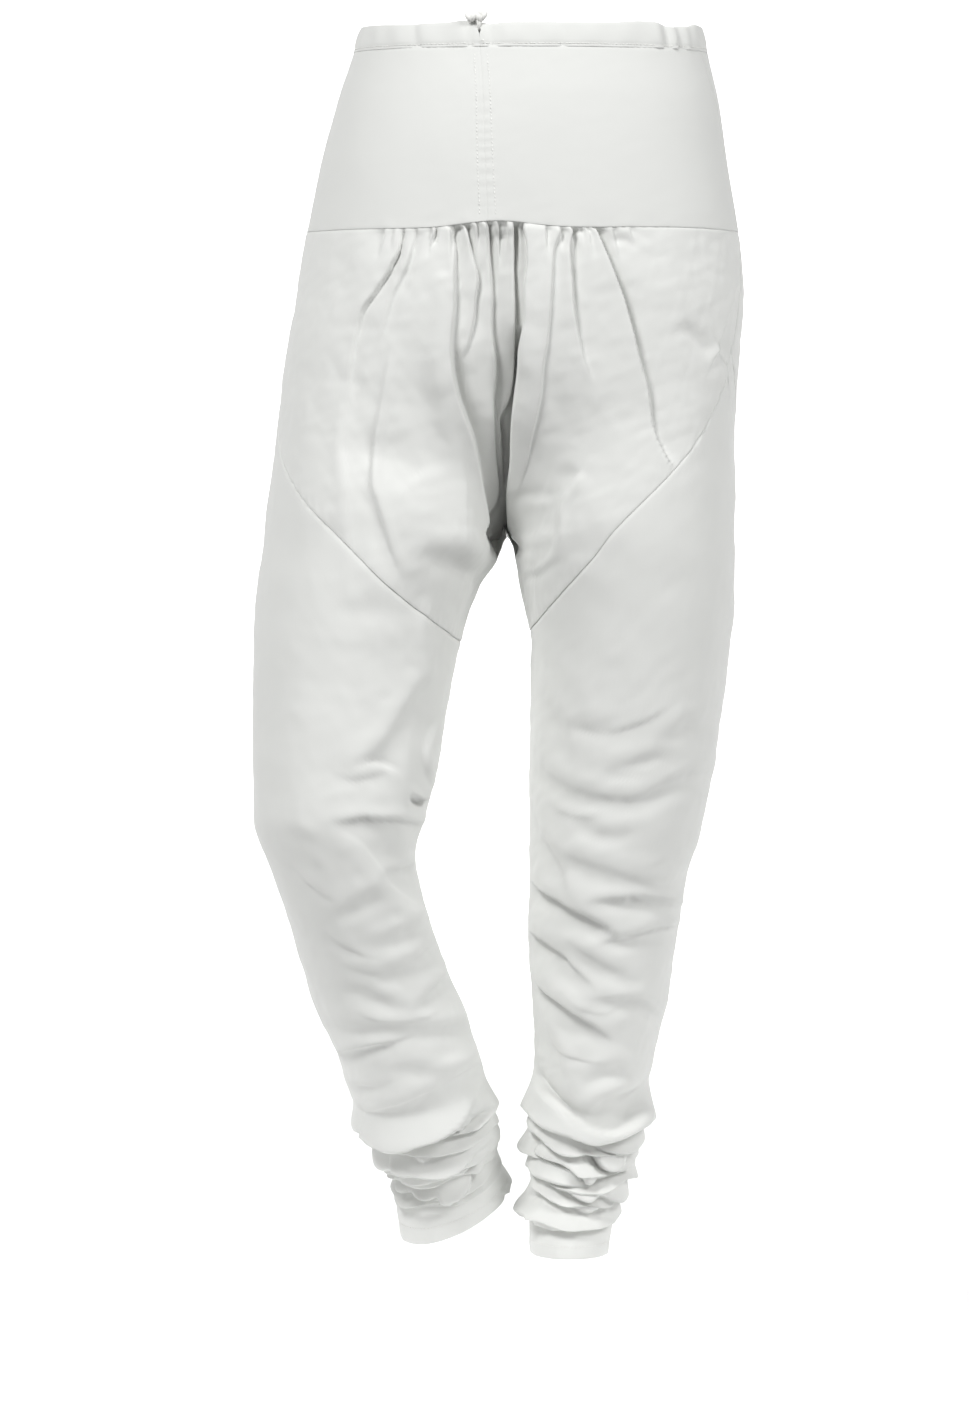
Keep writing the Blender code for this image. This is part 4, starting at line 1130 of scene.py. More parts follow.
def pucker(distance, along, seed, depth=0.35, length=6.5, reach=4.5):
    """The small ladder of puckers that the sewing draws up beside a seam."""
    draw = np.random.default_rng(seed)
    phase = draw.uniform(0, 6.3, 3)
    wave = np.sin(along * 2 * math.pi / length + phase[0] + 1.3 * np.sin(along / 9 + phase[1]))
    uneven = 0.55 + 0.45 * np.sin(along / 23 + phase[2])
    return depth * wave * uneven * bump(distance - 1.5, reach)


def add(node_tree, kind, settings=(), links=()):
    """Adds a node, with its properties, input values and incoming links."""
    node = node_tree.nodes.new(kind)
    for key, value in dict(settings).items():
        if isinstance(key, str) and hasattr(node, key):
            setattr(node, key, value)
        else:
            node.inputs[key].default_value = value
    for key, source in dict(links).items():
        node_tree.links.new(source, node.inputs[key])
    return node


def blank_material(name):
    material = bpy.data.materials.new(name)
    material.use_nodes = True
    tree = material.node_tree
    tree.nodes.clear()
    return material, tree


def cotton(name, colour, grain, line_mm, line_depth, slub, roughness=0.82, sheen=0.25):
    """Off-white cotton: fine lines of its weave, thicker slub yarns, a cloudy unevenness of its colour
    and a slight fuzz. grain is the angle of the lines to the cut's length. The real lines are about
    0.5 mm apart and its slubs finer still. Both are drawn coarser, to have a chance to show."""
    material, tree = blank_material(name)
    pattern = add(tree, "ShaderNodeUVMap", {"uv_map": "UVMap"})
    along = {"Rotation": (0, 0, math.radians(grain))}
    turned = add(tree, "ShaderNodeMapping", along, {"Vector": pattern.outputs[0]})
    lines = add(
        tree,
        "ShaderNodeTexWave",
        {"wave_type": "BANDS", "bands_direction": "X", "Scale": math.pi / 10 / (line_mm * MM)}
        | {"Distortion": 1.2, "Detail": 2.0, "Detail Scale": 1.5},
        {"Vector": turned.outputs[0]},
    )
    yarn_space = add(tree, "ShaderNodeMapping", {"Scale": (520, 20, 1)}, {"Vector": turned.outputs[0]})
    yarns = add(tree, "ShaderNodeTexNoise", {"Scale": 1.0, "Detail": 3.0}, {"Vector": yarn_space.outputs[0]})
    clouds = add(tree, "ShaderNodeTexNoise", {"Scale": 42.0, "Detail": 4.0}, {"Vector": pattern.outputs[0]})
    fuzz = add(tree, "ShaderNodeTexNoise", {"Scale": 900.0, "Detail": 2.0}, {"Vector": pattern.outputs[0]})
    lit = linear(colour)
    shade = add(
        tree,
        "ShaderNodeMix",
        {"data_type": "RGBA", 6: (*[c * 0.93 for c in lit], 1), 7: (*[min(1, c * 1.05) for c in lit], 1)},
        {0: clouds.outputs["Fac"]},
    )
    slubbed = add(
        tree, "ShaderNodeMix", {"data_type": "RGBA", "blend_type": "MULTIPLY", 0: slub}, {6: shade.outputs[2]}
    )
    tree.links.new(yarns.outputs["Fac"], slubbed.inputs[7])
    lifted = add(tree, "ShaderNodeMath", {"operation": "MULTIPLY", 1: 0.7}, {0: yarns.outputs["Fac"]})
    heights = add(
        tree, "ShaderNodeMath", {"operation": "ADD"}, {0: lines.outputs["Fac"], 1: lifted.outputs[0]}
    )
    rough = add(tree, "ShaderNodeMath", {"operation": "MULTIPLY", 1: 0.5}, {0: fuzz.outputs["Fac"]})
    heights = add(tree, "ShaderNodeMath", {"operation": "ADD"}, {0: heights.outputs[0], 1: rough.outputs[0]})
    weave = add(
        tree,
        "ShaderNodeBump",
        {"Strength": 0.6, "Distance": line_depth * MM},
        {"Height": heights.outputs[0]},
    )
    cloth = add(
        tree,
        "ShaderNodeBsdfPrincipled",
        {"Roughness": roughness, "Sheen Weight": sheen, "Sheen Roughness": 0.5, "IOR": 1.46, "Metallic": 0.0},
        {"Base Color": slubbed.outputs[2], "Normal": weave.outputs[0]},
    )
    through = add(
        tree, "ShaderNodeBsdfTranslucent", (), {"Color": slubbed.outputs[2], "Normal": weave.outputs[0]}
    )
    mixed = add(tree, "ShaderNodeMixShader", {0: 0.12}, {1: cloth.outputs[0], 2: through.outputs[0]})
    add(tree, "ShaderNodeOutputMaterial", (), {"Surface": mixed.outputs[0]})
    return material


def thread_material(name, colour):
    """Cotton sewing thread: matt, a little brighter than the cloth, so that the stitches read."""
    material, tree = blank_material(name)
    thread = add(
        tree, "ShaderNodeBsdfPrincipled", {"Base Color": (*linear(colour), 1), "Roughness": 0.7, "IOR": 1.46}
    )
    add(tree, "ShaderNodeOutputMaterial", (), {"Surface": thread.outputs[0]})
    return material


def place_cloth(piece, slot, flat, held, *nodes, area=None, with_pieces=()):
    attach(piece, "root")
    if nodes:
        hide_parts(*nodes)


def stitch_row(piece_mesh, line, pitch, size, seed):
    """Short stitches along a line of points in millimetres, added to a mesh."""
    draw = np.random.default_rng(seed)
    steps = np.linalg.norm(np.diff(line, axis=0), axis=1)
    reached = np.concatenate([[0], np.cumsum(steps)])
    for at in np.arange(pitch, reached[-1] - pitch, pitch):
        at = at + draw.uniform(-0.12, 0.12) * pitch
        half = size[0] / 2
        a, b = (np.array([np.interp(at + s, reached, line[:, k]) for k in range(3)]) for s in (-half, half))
        way = (b - a) / np.linalg.norm(b - a)
        up = np.array((0, 0, 1.0)) if abs(way[2]) < 0.9 else np.array((1.0, 0, 0))
        wide = np.cross(way, up)
        wide /= np.linalg.norm(wide)
        deep = np.cross(wide, way)
        made = bmesh.ops.create_icosphere(piece_mesh, subdivisions=1, radius=1)["verts"]
        for vert in made:
            x, y, z = vert.co
            place = (a + b) / 2 + way * x * half * 1.1 + wide * y * size[1] / 2 + deep * z * size[1] / 2
            vert.co = place * MM


def finish_mesh(name, mesh, material):
    data = bpy.data.meshes.new(name)
    mesh.to_mesh(data)
    mesh.free()
    data.shade_smooth()
    data.materials.append(material)
    piece = bpy.data.objects.new(name, data)
    bpy.context.scene.collection.objects.link(piece)
    return piece


def tube(mesh, path, radii, sides=12):
    """A round cord along a path of points in millimetres, closed to a rounded end at both ends."""
    path = np.array(path, float)
    ways = np.gradient(path, axis=0)
    ways /= np.linalg.norm(ways, axis=1, keepdims=True)
    across = np.cross(ways[0], (0.3, 0.2, 1.0))
    rings = []
    for point, way, radius in zip(path, ways, radii):
        across = across - way * (across @ way)
        across /= np.linalg.norm(across)
        other = np.cross(way, across)
        made = bmesh.ops.create_circle(mesh, segments=sides, radius=1)["verts"]
        for i, vert in enumerate(made):
            angle = 2 * math.pi * i / sides
            vert.co = (point + radius * (across * math.cos(angle) + other * math.sin(angle))) * MM
        rings.append(made)
    for first, second in zip(rings[:-1], rings[1:]):
        for i in range(sides):
            j = (i + 1) % sides
            mesh.faces.new((first[i], first[j], second[j], second[i]))
    mesh.faces.new(rings[0][::-1])
    mesh.faces.new(rings[-1])


class ChuridarCloth(bpy.types.PropertyGroup):
    """Colours of the cloth and its cord."""

    cloth: bpy.props.StringProperty(
        name="Cloth", description="Colour of the cotton, sRGB", default="EEEFEC"
    )
    cord: bpy.props.StringProperty(
        name="Cord", description="Colour of the drawstring, sRGB", default="F4F4F1"
    )
    thread: bpy.props.StringProperty(
        name="Thread", description="Colour of the stitches, sRGB", default="F1F1EE"
    )
    stitch_pitch: bpy.props.FloatProperty(
        name="Stitch pitch", description="From one stitch to the next", default=0.003, unit="LENGTH"
    )


class ChuridarStage(bpy.types.PropertyGroup):
    """Where the picture is taken from, and the height of the floor."""

    lens: bpy.props.FloatProperty(
        name="Lens", description="Focal length", default=119.1, subtype="DISTANCE_CAMERA"
    )
    camera: bpy.props.FloatVectorProperty(
        name="Camera", description="Place of the camera", default=(-0.0353, -3.6, -0.513), subtype="XYZ"
    )
    floor: bpy.props.FloatProperty(
        name="Floor", description="Height of the floor", default=-1.055, unit="LENGTH"
    )


class ChuridarOperator:
    """What the operators share: the materials, made once."""

    bl_options = {"REGISTER", "UNDO"}

    def cloth(self, kind):
        colours = bpy.context.scene.churidar_cloth
        if kind not in bpy.data.materials:
            make = {
                # fine straight lines and slub yarns down the yoke
                "yoke cotton": lambda: cotton("yoke cotton", colours.cloth, 0, 2.0, 0.3, 0.2),
                # fine twill lines at a slant over the gathered panels
                "panel cotton": lambda: cotton("panel cotton", colours.cloth, 32, 2.0, 0.3, 0.12),
                # the same twill cut on the cross, steeper on the legs
                "bias cotton": lambda: cotton("bias cotton", colours.cloth, 52, 2.0, 0.3, 0.12),
                # soft white cord
                "cotton cord": lambda: cotton("cotton cord", colours.cord, 20, 0.9, 0.15, 0.05, 0.9, 0.3),
                "cotton thread": lambda: thread_material("cotton thread", colours.thread),
            }[kind]
            make()
        return bpy.data.materials[kind]

    def finish_stitches(self, name, mesh, slot):
        """A row of stitches as a piece of its own."""
        stitches = finish_mesh(name, mesh, self.cloth("cotton thread"))
        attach(stitches, "root")
        return stitches


def yoke_relief(side, turns, drops, front):
    """The grooves and puckers of a yoke's seams."""
    seam = yoke_drop(side, turns)
    extra = 0.6 * seam_sink(seam - drops, False) - 0.5 * smooth((YOKE_TOP + 1 - drops) / 2)
    if front:
        centre = np.abs(turns) * ROUND_HALF_THE_HIPS
        extra += 0.3 * seam_sink(centre, False)
        if side == RIGHT:
            extra -= TUCK_DEPTH * smooth(-turns * ROUND_HALF_THE_HIPS / 0.8)
        drawn = pucker(centre - 1, drops, 11, 0.34, 8.3, 3.0) + pucker(centre - 3, drops, 12, 0.22, 4.7, 2.0)
        extra += drawn * smooth((drops - 24) / 14)
    outer = np.abs(turns - SIDE_SEAM_TURN) * ROUND_HALF_THE_HIPS
    extra += seam_sink(outer, not front)
    extra += pucker(outer, drops, 17 + side, 0.15)
    extra += pucker(seam - drops, turns * ROUND_HALF_THE_HIPS, 23 + side, 0.3, 8.0)
    extra += pucker(drops - YOKE_TOP, turns * ROUND_HALF_THE_HIPS, 29 + side, 0.12, 7.0)
    return extra


class OBJECT_OT_churidar_waist(ChuridarOperator, bpy.types.Operator):
    """Make the turned casing and the deep plain yoke"""

    bl_idname = "object.churidar_waist"
    bl_label = "Casing and yoke"

    def execute(self, context):
        self.make_casing()
        self.make_yokes()
        return {"FINISHED"}

    def make_casing(self):
        columns = np.sort(np.append(np.linspace(0, 1, CASING_COLUMNS + 1), (0.0003, 0.0012, 0.003)))
        fold_drop = CASING_TOP + CASING_FOLD
        up = np.linspace(YOKE_TOP + 0.4, fold_drop, 16)
        over = np.radians(np.linspace(0, 180, 9))[1:-1]
        middle = CASING_DEPTH / 2
        profile = [(drop, 0.0) for drop in up]
        profile += [(fold_drop - CASING_FOLD * math.sin(a), -middle * (1 - math.cos(a))) for a in over]
        profile += [(drop, -CASING_DEPTH) for drop in np.linspace(fold_drop, YOKE_TOP - 2, 8)]
        halves = {}
        for side in (LEFT, RIGHT):
            rows = []
            flats = []
            reached = 0.0
            last = None
            for drop, depth in profile:
                outer = depth > -0.2
                slit = SLIT_OPEN * bump(drop - SLIT_DROP, SLIT_HEIGHT) * (1 if outer else 0)
                gap = (SLIT_CLOSED + slit) / ROUND_HALF_THE_HIPS
                turns = gap + (1 - gap) * columns
                drops = np.full(turns.shape, drop)
                points = plain_points(side, turns, drops)
                x = points[:, 0]
                ahead = smooth(-points[:, 1] / 40 + 0.5)
                lift = sum(w.lift * bump(x - w.x, w.width) for w in CASING_WAVES) * ahead
                lift = lift * smooth((YOKE_TOP - drop) / 20)
                crown = math.sin(math.pi * min(1, max(0, (drop - CASING_TOP) / 20))) ** 0.8 if outer else 0.3
                along = turns * ROUND_HALF_THE_HIPS
                waver = 0.45 * np.sin(along / 5.3 + 2 * side) * smooth(along / 12) * crown if outer else 0
                extra = depth + CASING_PUFF * crown + waver
                extra = extra + pucker(drop - YOKE_TOP, along, 31 + side, 0.15, 7.0) * smooth(along / 12)
                extra = extra - 0.5 * bump(YOKE_TOP - CASING_STITCHES_UP - drop, 0.9) * (1 if outer else 0)
                push = extra + self.casing_puckers(x, drop) * ahead * (1 if depth > -2 else 0.3)
                points = points + seam_normals(side, turns, drops) * push[:, None]
                points[:, 2] += lift
                rows.append(points)
                if last is not None:
                    reached += math.hypot(drop - last[0], depth - last[1])
                last = (drop, depth)
                flats.append(np.stack([side * along, np.full(along.shape, reached)], axis=-1) * MM)
            halves[side] = np.array(rows), np.array(flats)
        points = np.concatenate([halves[LEFT][0], halves[RIGHT][0][:, -2::-1]], axis=1)
        flat = np.concatenate([halves[LEFT][1], halves[RIGHT][1][:, -2::-1]], axis=1)
        axis = np.array([[0.0, 0.0, z] for z in np.linspace(12, -30, 30)])
        casing = cloth_sheet("turned_casing", points, flat, self.cloth("yoke cotton"), inside=axis)
        stitches = self.casing_stitches()
        place_cloth(casing, "yoke_cotton", (0.76, 0.044), "gathered", "waist_casing", with_pieces=[stitches])

    @staticmethod
    def casing_puckers(x, drop):
        """How far the drawstring's creases push the casing out."""
        push = 0.0
        for crease in CORD_CREASES:
            push = push - crease.depth * bump(x - crease.x - 0.15 * drop, crease.width)
        return push

    def casing_stitches(self):
        """The line of stitching that holds the casing down, all round, and the bar tack at its slit."""
        pitch = context_cloth().stitch_pitch / MM
        mesh = bmesh.new()
        for side in (LEFT, RIGHT):
            turns = np.linspace(0.006, 0.998, 400)
            drops = np.full(turns.shape, YOKE_TOP - CASING_STITCHES_UP)
            line = plain_points(side, turns, drops) + seam_normals(side, turns, drops) * 0.35
            stitch_row(mesh, line, pitch, (2.2, 0.55), 5 + side)
        drops = np.linspace(4, 9.5, 12)
        for shift in (0.0, 1.0):
            turns = np.full(drops.shape, (2.2 + shift) / ROUND_HALF_THE_HIPS)
            line = plain_points(LEFT, turns, drops) + seam_normals(LEFT, turns, drops) * 0.9
            stitch_row(mesh, line, 1.5, (1.4, 0.6), 7)
        return self.finish_stitches("casing_stitches", mesh, "yoke_cotton")

    def make_yokes(self):
        columns, rows = YOKE_GRID
        shares = edge_shares(rows)[:, None]
        # a column right beside each edge keeps its rim from darkening the cloth
        beside = 0.04 / columns
        across = np.sort(np.append(edge_shares(columns), (beside, 1 - beside)))
        tuck = TUCK / ROUND_HALF_THE_HIPS
        cloth = self.cloth("yoke cotton")
        axis = np.array([[-4.0, 0.0, -z] for z in np.linspace(0, 160, 60)])
        for side, word in SIDES.items():
            first = -tuck if side == RIGHT else 0.0
            turns = first + (SIDE_SEAM_TURN - first) * across
            level = (YOKE_TOP - TUCK) * (1 - shares) + yoke_drop(side, turns) * shares
            turns = np.broadcast_to(turns, level.shape)
            points = cloth_points(side, turns, level, yoke_relief(side, turns, level, True))
            flat = flat_pattern(side, turns, level)
            yoke = cloth_sheet(f"front_yoke_{word}", points, flat, cloth, inside=axis)
            added = [self.centre_stitches()] if side == LEFT else []
            place_cloth(yoke, "yoke_cotton", (0.24, 0.146), "hung", f"yoke_front_{word}", with_pieces=added)
        behind = SIDE_SEAM_TURN - tuck + (SIDE_SEAM_TURN + tuck) * across
        level = (YOKE_TOP - TUCK) * (1 - shares) + YOKE_BOTTOM * shares + 0 * behind
        turns = np.broadcast_to(behind, level.shape)
        halves = [
            cloth_points(side, turns, level, yoke_relief(side, turns, level, False)) for side in (LEFT, RIGHT)
        ]
        points = np.concatenate([halves[0], halves[1][:, -2::-1]], axis=1)
        left = flat_pattern(LEFT, turns, level)
        left[..., 0] -= left[:, -1:, 0]
        right = left[:, -2::-1] * (-1, 1)
        flat = np.concatenate([left, right], axis=1)
        yoke = cloth_sheet("back_yoke", points, flat, cloth, inside=axis)
        place_cloth(yoke, "yoke_cotton", (0.47, 0.146), "hung", "yoke_back")

    def centre_stitches(self):
        """The two lines of stitching beside the centre-front seam."""
        pitch = context_cloth().stitch_pitch / MM
        mesh = bmesh.new()
        drops = np.linspace(YOKE_TOP + 4, YOKE_BOTTOM - 3, 240)
        for side in (RIGHT, LEFT):
            turns = np.full(drops.shape, CENTRE_STITCHES_AWAY / ROUND_HALF_THE_HIPS)
            extra = yoke_relief(side, turns, drops, True) + 0.12
            stitch_row(mesh, cloth_points(side, turns, drops, extra), pitch, (2.1, 0.5), 9 + side)
        return self.finish_stitches("centre_seam_stitches", mesh, "yoke_cotton")


class OBJECT_OT_churidar_panels(ChuridarOperator, bpy.types.Operator):
    """Make the gathered upper panels, front and back"""

    bl_idname = "object.churidar_panels"
    bl_label = "Upper panels"

    def execute(self, context):
        for side, word in SIDES.items():
            self.make_panel(side, f"gathered_front_{word}", f"upper_front_{word}", True, (0.30, 0.33), 0.078)
            self.make_panel(side, f"gathered_back_{word}", f"upper_back_{word}", False, (0.30, 0.33), 0.078)
        return {"FINISHED"}

    def make_panel(self, side, name, node, front, flat_size, area):
        columns, rows = FRONT_GRID if front else BACK_GRID
        seam = SLANTS[side]
        tuck = TUCK / ROUND_HALF_THE_HIPS
        along = crowded(columns)
        shares = edge_shares(rows)[:, None]
        lean = shares**1.15
        # The right panel goes under the left one at the centre, and the back ones under the front ones.
        centre = -tuck if side == RIGHT else 0.0
        if front:
            top = centre + (SIDE_SEAM_TURN - centre) * along
            bottom = centre + (seam.peak_turn - centre) * along
        else:
            top = 1 - centre - (1 - SIDE_SEAM_TURN - centre + tuck) * along
            bottom = 1 - centre - (1 - seam.peak_turn - centre + tuck) * along
        turns = top * (1 - lean) + bottom * lean
        seam_above = yoke_drop(side, np.clip(turns, 0, 1))
        start = seam_above - TUCK
        lowest = slant_drop(side, np.clip(turns, 0, 1))
        drops = start * (1 - lean) + lowest * lean
        side_turn = SIDE_SEAM_TURN * (1 - lean) + seam.peak_turn * lean
        extra = 0.6 * seam_sink(drops - seam_above, True)
        extra = extra + seam_sink((lowest - drops) * SLANT_LEAN, False)
        from_centre = np.minimum(np.abs(turns), np.abs(1 - turns)) * ROUND_HALF_THE_HIPS
        extra = extra + 0.4 * seam_sink(from_centre, side == RIGHT)
        extra = extra + seam_sink(np.abs(turns - side_turn) * ROUND_HALF_THE_HIPS, not front)
        extra = extra + pucker((lowest - drops) * SLANT_LEAN, turns * ROUND_THE_THIGH, 41 + side, 0.3, 7.5)
        extra = extra + pucker(np.abs(turns - side_turn) * ROUND_HALF_THE_HIPS, drops, 43 + side, 0.25, 8.0)
        points = cloth_points(side, turns, drops, extra)
        flat = flat_pattern(side, turns, drops)
        axis = np.array([[side * 40.0, 0.0, -z] for z in np.linspace(140, 460, 80)])
        piece = cloth_sheet(name, points, flat, self.cloth("panel cotton"), inside=axis)
        place_cloth(piece, "panel_cotton", flat_size, "gathered", node, area=area)


class OBJECT_OT_churidar_legs(ChuridarOperator, bpy.types.Operator):
    """Make the bias-cut legs with their stacked bangles and turned hems"""

    bl_idname = "object.churidar_legs"
    bl_label = "Legs"

    def execute(self, context):
        self.make_leg(RIGHT, "bias_leg_right", "leg_right", (0.46, 0.86), 0.26)
        self.make_leg(LEFT, "bias_leg_left", "leg_left", (0.46, 0.88), 0.26)
        return {"FINISHED"}

    def make_leg(self, side, name, node, flat_size, area):
        columns, rows = LEG_GRID
        turns = np.linspace(0, 1, columns + 1)
        start = slant_drop(side, turns)
        edges = bangle_edges(side, turns)
        hem = LEGS[side][-1].drop
        under = start - TUCK
        drops = [under]
        for s in (0.35, 0.7, 1.0, 1.35, 1.8):
            drops.append(under + TUCK * s)
        for s in 1 - crowded(rows)[-2::-1]:
            drops.append((start + 0.8 * TUCK) * (1 - s) + edges[0] * s)
        for upper, lower in zip(edges[:-1], edges[1:]):
            for s in np.linspace(0, 1, ROLL_ROWS + 1)[1:]:
                drops.append(upper * (1 - s) + lower * s)
        for s in np.linspace(0, 1, ANKLE_ROWS + 1)[1:]:
            drops.append(edges[-1] * (1 - s) + (hem - 0.4) * s)
        outer = len(drops)
        inner = [(hem + 0.1, -0.25), (hem + 0.1, -0.95), (hem - 0.5, -HEM_DEPTH)]
        inner += [(hem - d, -HEM_DEPTH - 0.1) for d in (2.5, 5.5, HEM_TURN)]
        depths = [0.0] * outer
        for drop, depth in inner:
            drops.append(np.full(turns.shape, drop))
            depths.append(depth)
        drops = np.array(drops)
        depths = np.array(depths)[:, None]
        grid_turns = np.broadcast_to(turns, drops.shape)
        from_seam = (drops - start) * SLANT_LEAN
        extra = depths + seam_sink(from_seam, True)
        extra = extra + pucker(from_seam, grid_turns * ROUND_THE_THIGH, 41 + side, 0.3, 7.5)
        around_ankle = grid_turns * ROUND_THE_ANKLE
        extra = extra + pucker(drops - (hem - HEM_TURN), around_ankle, 47 + side, 0.3, 9.0) * (depths > -0.2)
        extra = extra - 0.25 * bump(drops - (hem - HEM_TURN), 1.0) * (depths > -0.2)
        points = cloth_points(side, grid_turns, drops, extra)
        points[:, -1] = points[:, 0]
        flat = flat_pattern(side, grid_turns, drops)
        piece = cloth_sheet(name, points, flat, self.cloth("bias cotton"), closed=True)
        stitches = self.hem_stitches(side)
        place_cloth(piece, "leg_cotton", flat_size, "gathered", node, area=area, with_pieces=[stitches])

    def hem_stitches(self, side):
        """The line of stitching round the turned hem."""
        pitch = context_cloth().stitch_pitch / MM
        hem = LEGS[side][-1].drop
        turns = np.linspace(0, 1, 300)
        drops = np.full(turns.shape, hem - HEM_TURN + 1)
        line = cloth_points(side, turns, drops, np.full(turns.shape, 0.05))
        mesh = bmesh.new()
        stitch_row(mesh, line, pitch, (2.1, 0.5), 15 + side)
        return self.finish_stitches(f"hem_stitches_{SIDES[side]}", mesh, "leg_cotton")


class OBJECT_OT_churidar_knot(ChuridarOperator, bpy.types.Operator):
    """Make the small knot of the drawstring at the slit of the casing"""

    bl_idname = "object.churidar_knot"
    bl_label = "Drawstring knot"

    def execute(self, context):
        low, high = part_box("drawstring_knot")
        centre = [(a + b) / 2 / MM for a, b in zip(low, high)]
        wide, deep, tall = ((b - a) / MM for a, b in zip(low, high))
        radius = KNOT_RADIUS
        t = np.linspace(0.35, 2 * math.pi - 0.35, 84)
        x = (np.sin(t) + 2 * np.sin(2 * t)) / 2.7
        z = (np.cos(t) - 2 * np.cos(2 * t)) / 2.9
        y = np.sin(3 * t)
        knot = np.stack(
            [x * (wide / 2 - radius), y * (deep / 2 - radius * 0.6), z * (tall / 2 - radius) + 0.2], axis=-1
        )
        mesh = bmesh.new()
        lumps = radius * (1 + 0.1 * np.sin(5 * t + 1) + 0.06 * np.sin(13 * t))
        lumps[0] = lumps[-1] = radius * 0.55
        tube(mesh, knot + centre, lumps)
        for at, height, lean, thick in KNOT_TURNS:
            turn = np.linspace(0, 1, 9)
            arc = np.stack(
                [
                    at + lean * (turn - 0.5),
                    -0.2 * deep - 2.2 * np.sin(math.pi * turn),
                    height + 2.6 * (0.5 - turn) * 2,
                ],
                axis=-1,
            )
            tube(mesh, arc + centre, thick * (0.8 + 0.25 * np.sin(math.pi * turn)))
        seat = plain_points(LEFT, np.array([0.0]), np.array([CASING_TOP]))[0]
        for shift, lean in ((-1.1, 1.0), (1.2, -1.4)):
            down = np.linspace(0, 1, 10)
            strand = np.stack(
                [
                    seat[0] + shift + lean * down,
                    seat[1] - 1.7 - 0.6 * np.sin(math.pi * down) + 2.2 * down**3,
                    centre[2] - 1.5 - (centre[2] - 1.5 - seat[2] + 6.5) * down,
                ],
                axis=-1,
            )
            tube(mesh, strand, np.full(10, 1.25), 10)
        bmesh.ops.recalc_face_normals(mesh, faces=mesh.faces)
        piece = finish_mesh("cord_knot", mesh, self.cloth("cotton cord"))
        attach(piece, "root")
        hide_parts("drawstring_knot")
        return {"FINISHED"}


def add_plane(name, corners, material):
    mesh = bmesh.new()
    bmesh.ops.create_grid(mesh, x_segments=1, y_segments=1, size=0.5)
    for vert, corner in zip(mesh.verts, corners):
        vert.co = corner
    bmesh.ops.recalc_face_normals(mesh, faces=mesh.faces)
    piece = finish_mesh(name, mesh, material)
    return piece


def glowing(name, colour, glow):
    """White studio paper that is lit enough to read as white."""
    material, tree = blank_material(name)
    paper = add(
        tree,
        "ShaderNodeBsdfPrincipled",
        {"Base Color": (*colour, 1), "Roughness": 1.0, "Emission Color": (1, 1, 1, 1), "Emission Strength": glow},
    )
    add(tree, "ShaderNodeOutputMaterial", (), {"Surface": paper.outputs[0]})
    return material


def add_light(name, place, aim, size, power):
    data = bpy.data.lights.new(name, "AREA")
    data.shape = "RECTANGLE"
    data.size, data.size_y = size
    data.energy = power
    lamp = bpy.data.objects.new(name, data)
    bpy.context.scene.collection.objects.link(lamp)
    lamp.location = place
    away = np.array(place) - np.array(aim)
    level = math.hypot(away[0], away[1])
    lamp.rotation_euler = (math.atan2(level, away[2]), 0, math.atan2(away[0], -away[1]))
    return lamp


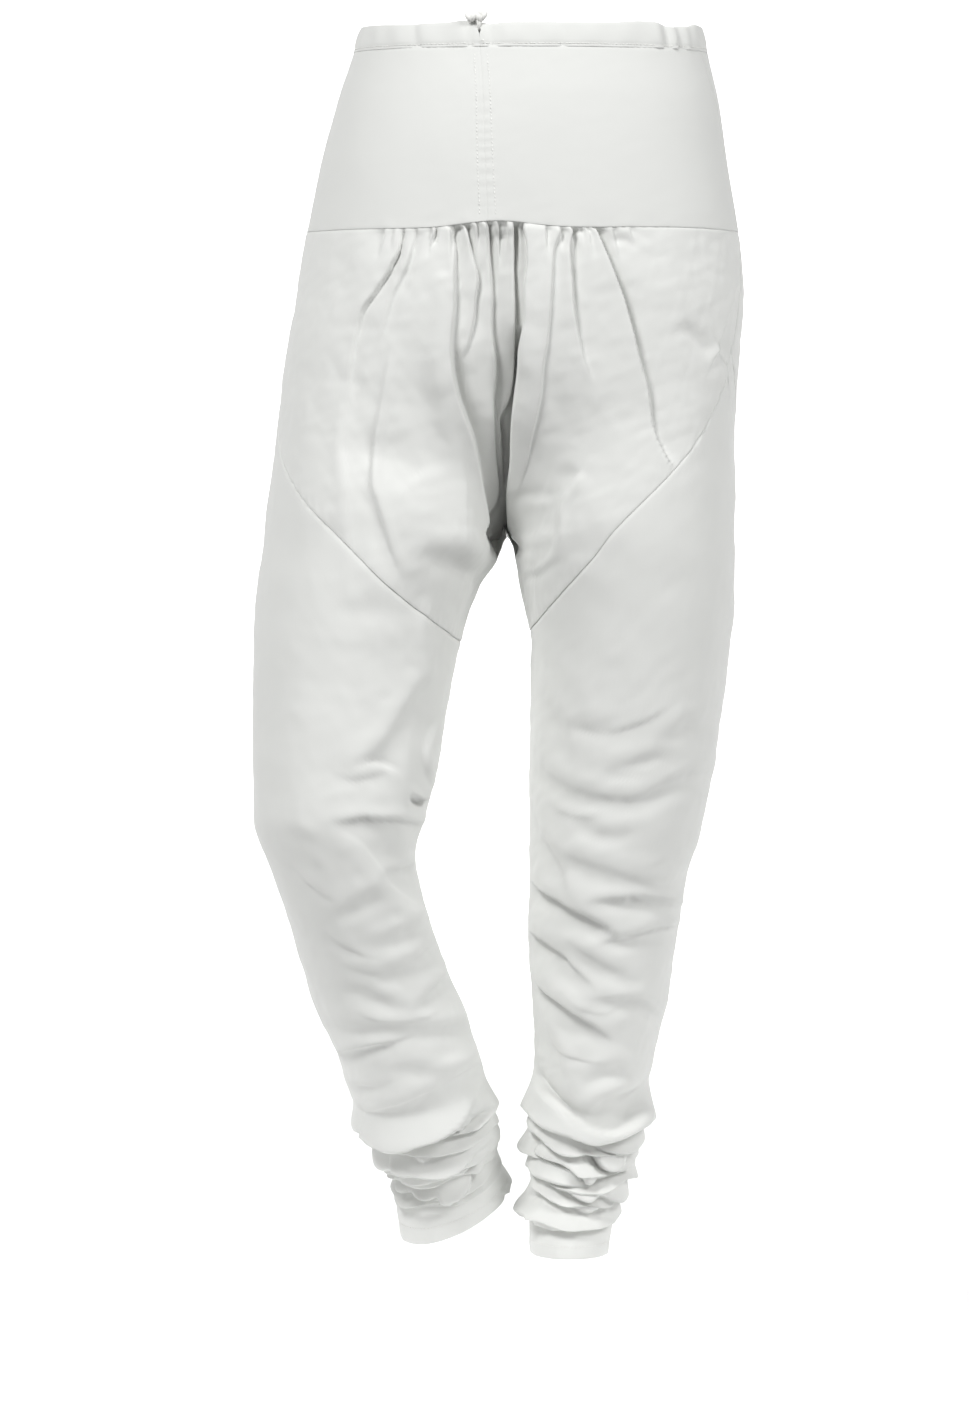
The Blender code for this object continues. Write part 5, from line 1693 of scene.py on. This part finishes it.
class OBJECT_OT_churidar_stage(bpy.types.Operator):
    """Make the white floor and backdrop, the soft studio lights and the camera"""

    bl_idname = "object.churidar_stage"
    bl_label = "Stage"

    def execute(self, context):
        scene = context.scene
        sizes = scene.churidar_stage
        floor = sizes.floor
        near, far, wide, high = -0.35, 4.0, 4.0, 3.5
        add_plane(
            "floor",
            ((-wide, near, floor), (wide, near, floor), (-wide, far, floor), (wide, far, floor)),
            glowing("white paper floor", (0.9, 0.9, 0.9), FLOOR_GLOW),
        )
        add_plane(
            "backdrop",
            ((-wide, far, floor), (wide, far, floor), (-wide, far, high), (wide, far, high)),
            glowing("white paper backdrop", (0.8, 0.8, 0.8), BACKDROP_GLOW),
        )
        for light in LIGHTS:
            add_light(light.name, light.place, LIGHTS_AIM, light.size, light.watts)
        world = bpy.data.worlds.new("studio")
        scene.world = world
        world.use_nodes = True
        sky = world.node_tree.nodes["Background"]
        sky.inputs["Color"].default_value = (1, 1, 1, 1)
        sky.inputs["Strength"].default_value = SKY_STRENGTH
        data = bpy.data.cameras.new("camera")
        data.lens = sizes.lens
        data.dof.use_dof = False
        camera = bpy.data.objects.new("camera", data)
        camera.location = sizes.camera
        camera.rotation_euler = (math.radians(90), 0, 0)
        scene.collection.objects.link(camera)
        scene.camera = camera
        scene.view_settings.view_transform = "Standard"
        scene.view_settings.look = "None"
        return {"FINISHED"}


class VIEW3D_PT_churidar(bpy.types.Panel):
    """The settings and the buttons that build the trousers"""

    bl_label = "Churidar trousers"
    bl_category = "Churidar"
    bl_space_type = "VIEW_3D"
    bl_region_type = "UI"

    def draw(self, context):
        layout = self.layout
        for group in (context.scene.churidar_cloth, context.scene.churidar_stage):
            for name in group.__annotations__:
                layout.prop(group, name)
        for operator in OPERATORS:
            layout.operator(operator.bl_idname)


OPERATORS = (
    OBJECT_OT_churidar_waist,
    OBJECT_OT_churidar_panels,
    OBJECT_OT_churidar_legs,
    OBJECT_OT_churidar_knot,
    OBJECT_OT_churidar_stage,
)
CLASSES = (ChuridarCloth, ChuridarStage, *OPERATORS, VIEW3D_PT_churidar)


def context_cloth():
    return bpy.context.scene.churidar_cloth


def register():
    for item in CLASSES:
        bpy.utils.register_class(item)
    bpy.types.Scene.churidar_cloth = bpy.props.PointerProperty(type=ChuridarCloth)
    bpy.types.Scene.churidar_stage = bpy.props.PointerProperty(type=ChuridarStage)


def unregister():
    del bpy.types.Scene.churidar_stage
    del bpy.types.Scene.churidar_cloth
    for item in reversed(CLASSES):
        bpy.utils.unregister_class(item)


def main():
    register()
    bpy.ops.object.churidar_waist()
    bpy.ops.object.churidar_panels()
    bpy.ops.object.churidar_legs()
    bpy.ops.object.churidar_knot()
    bpy.ops.object.churidar_stage()


if __name__ == "__main__":
    main()
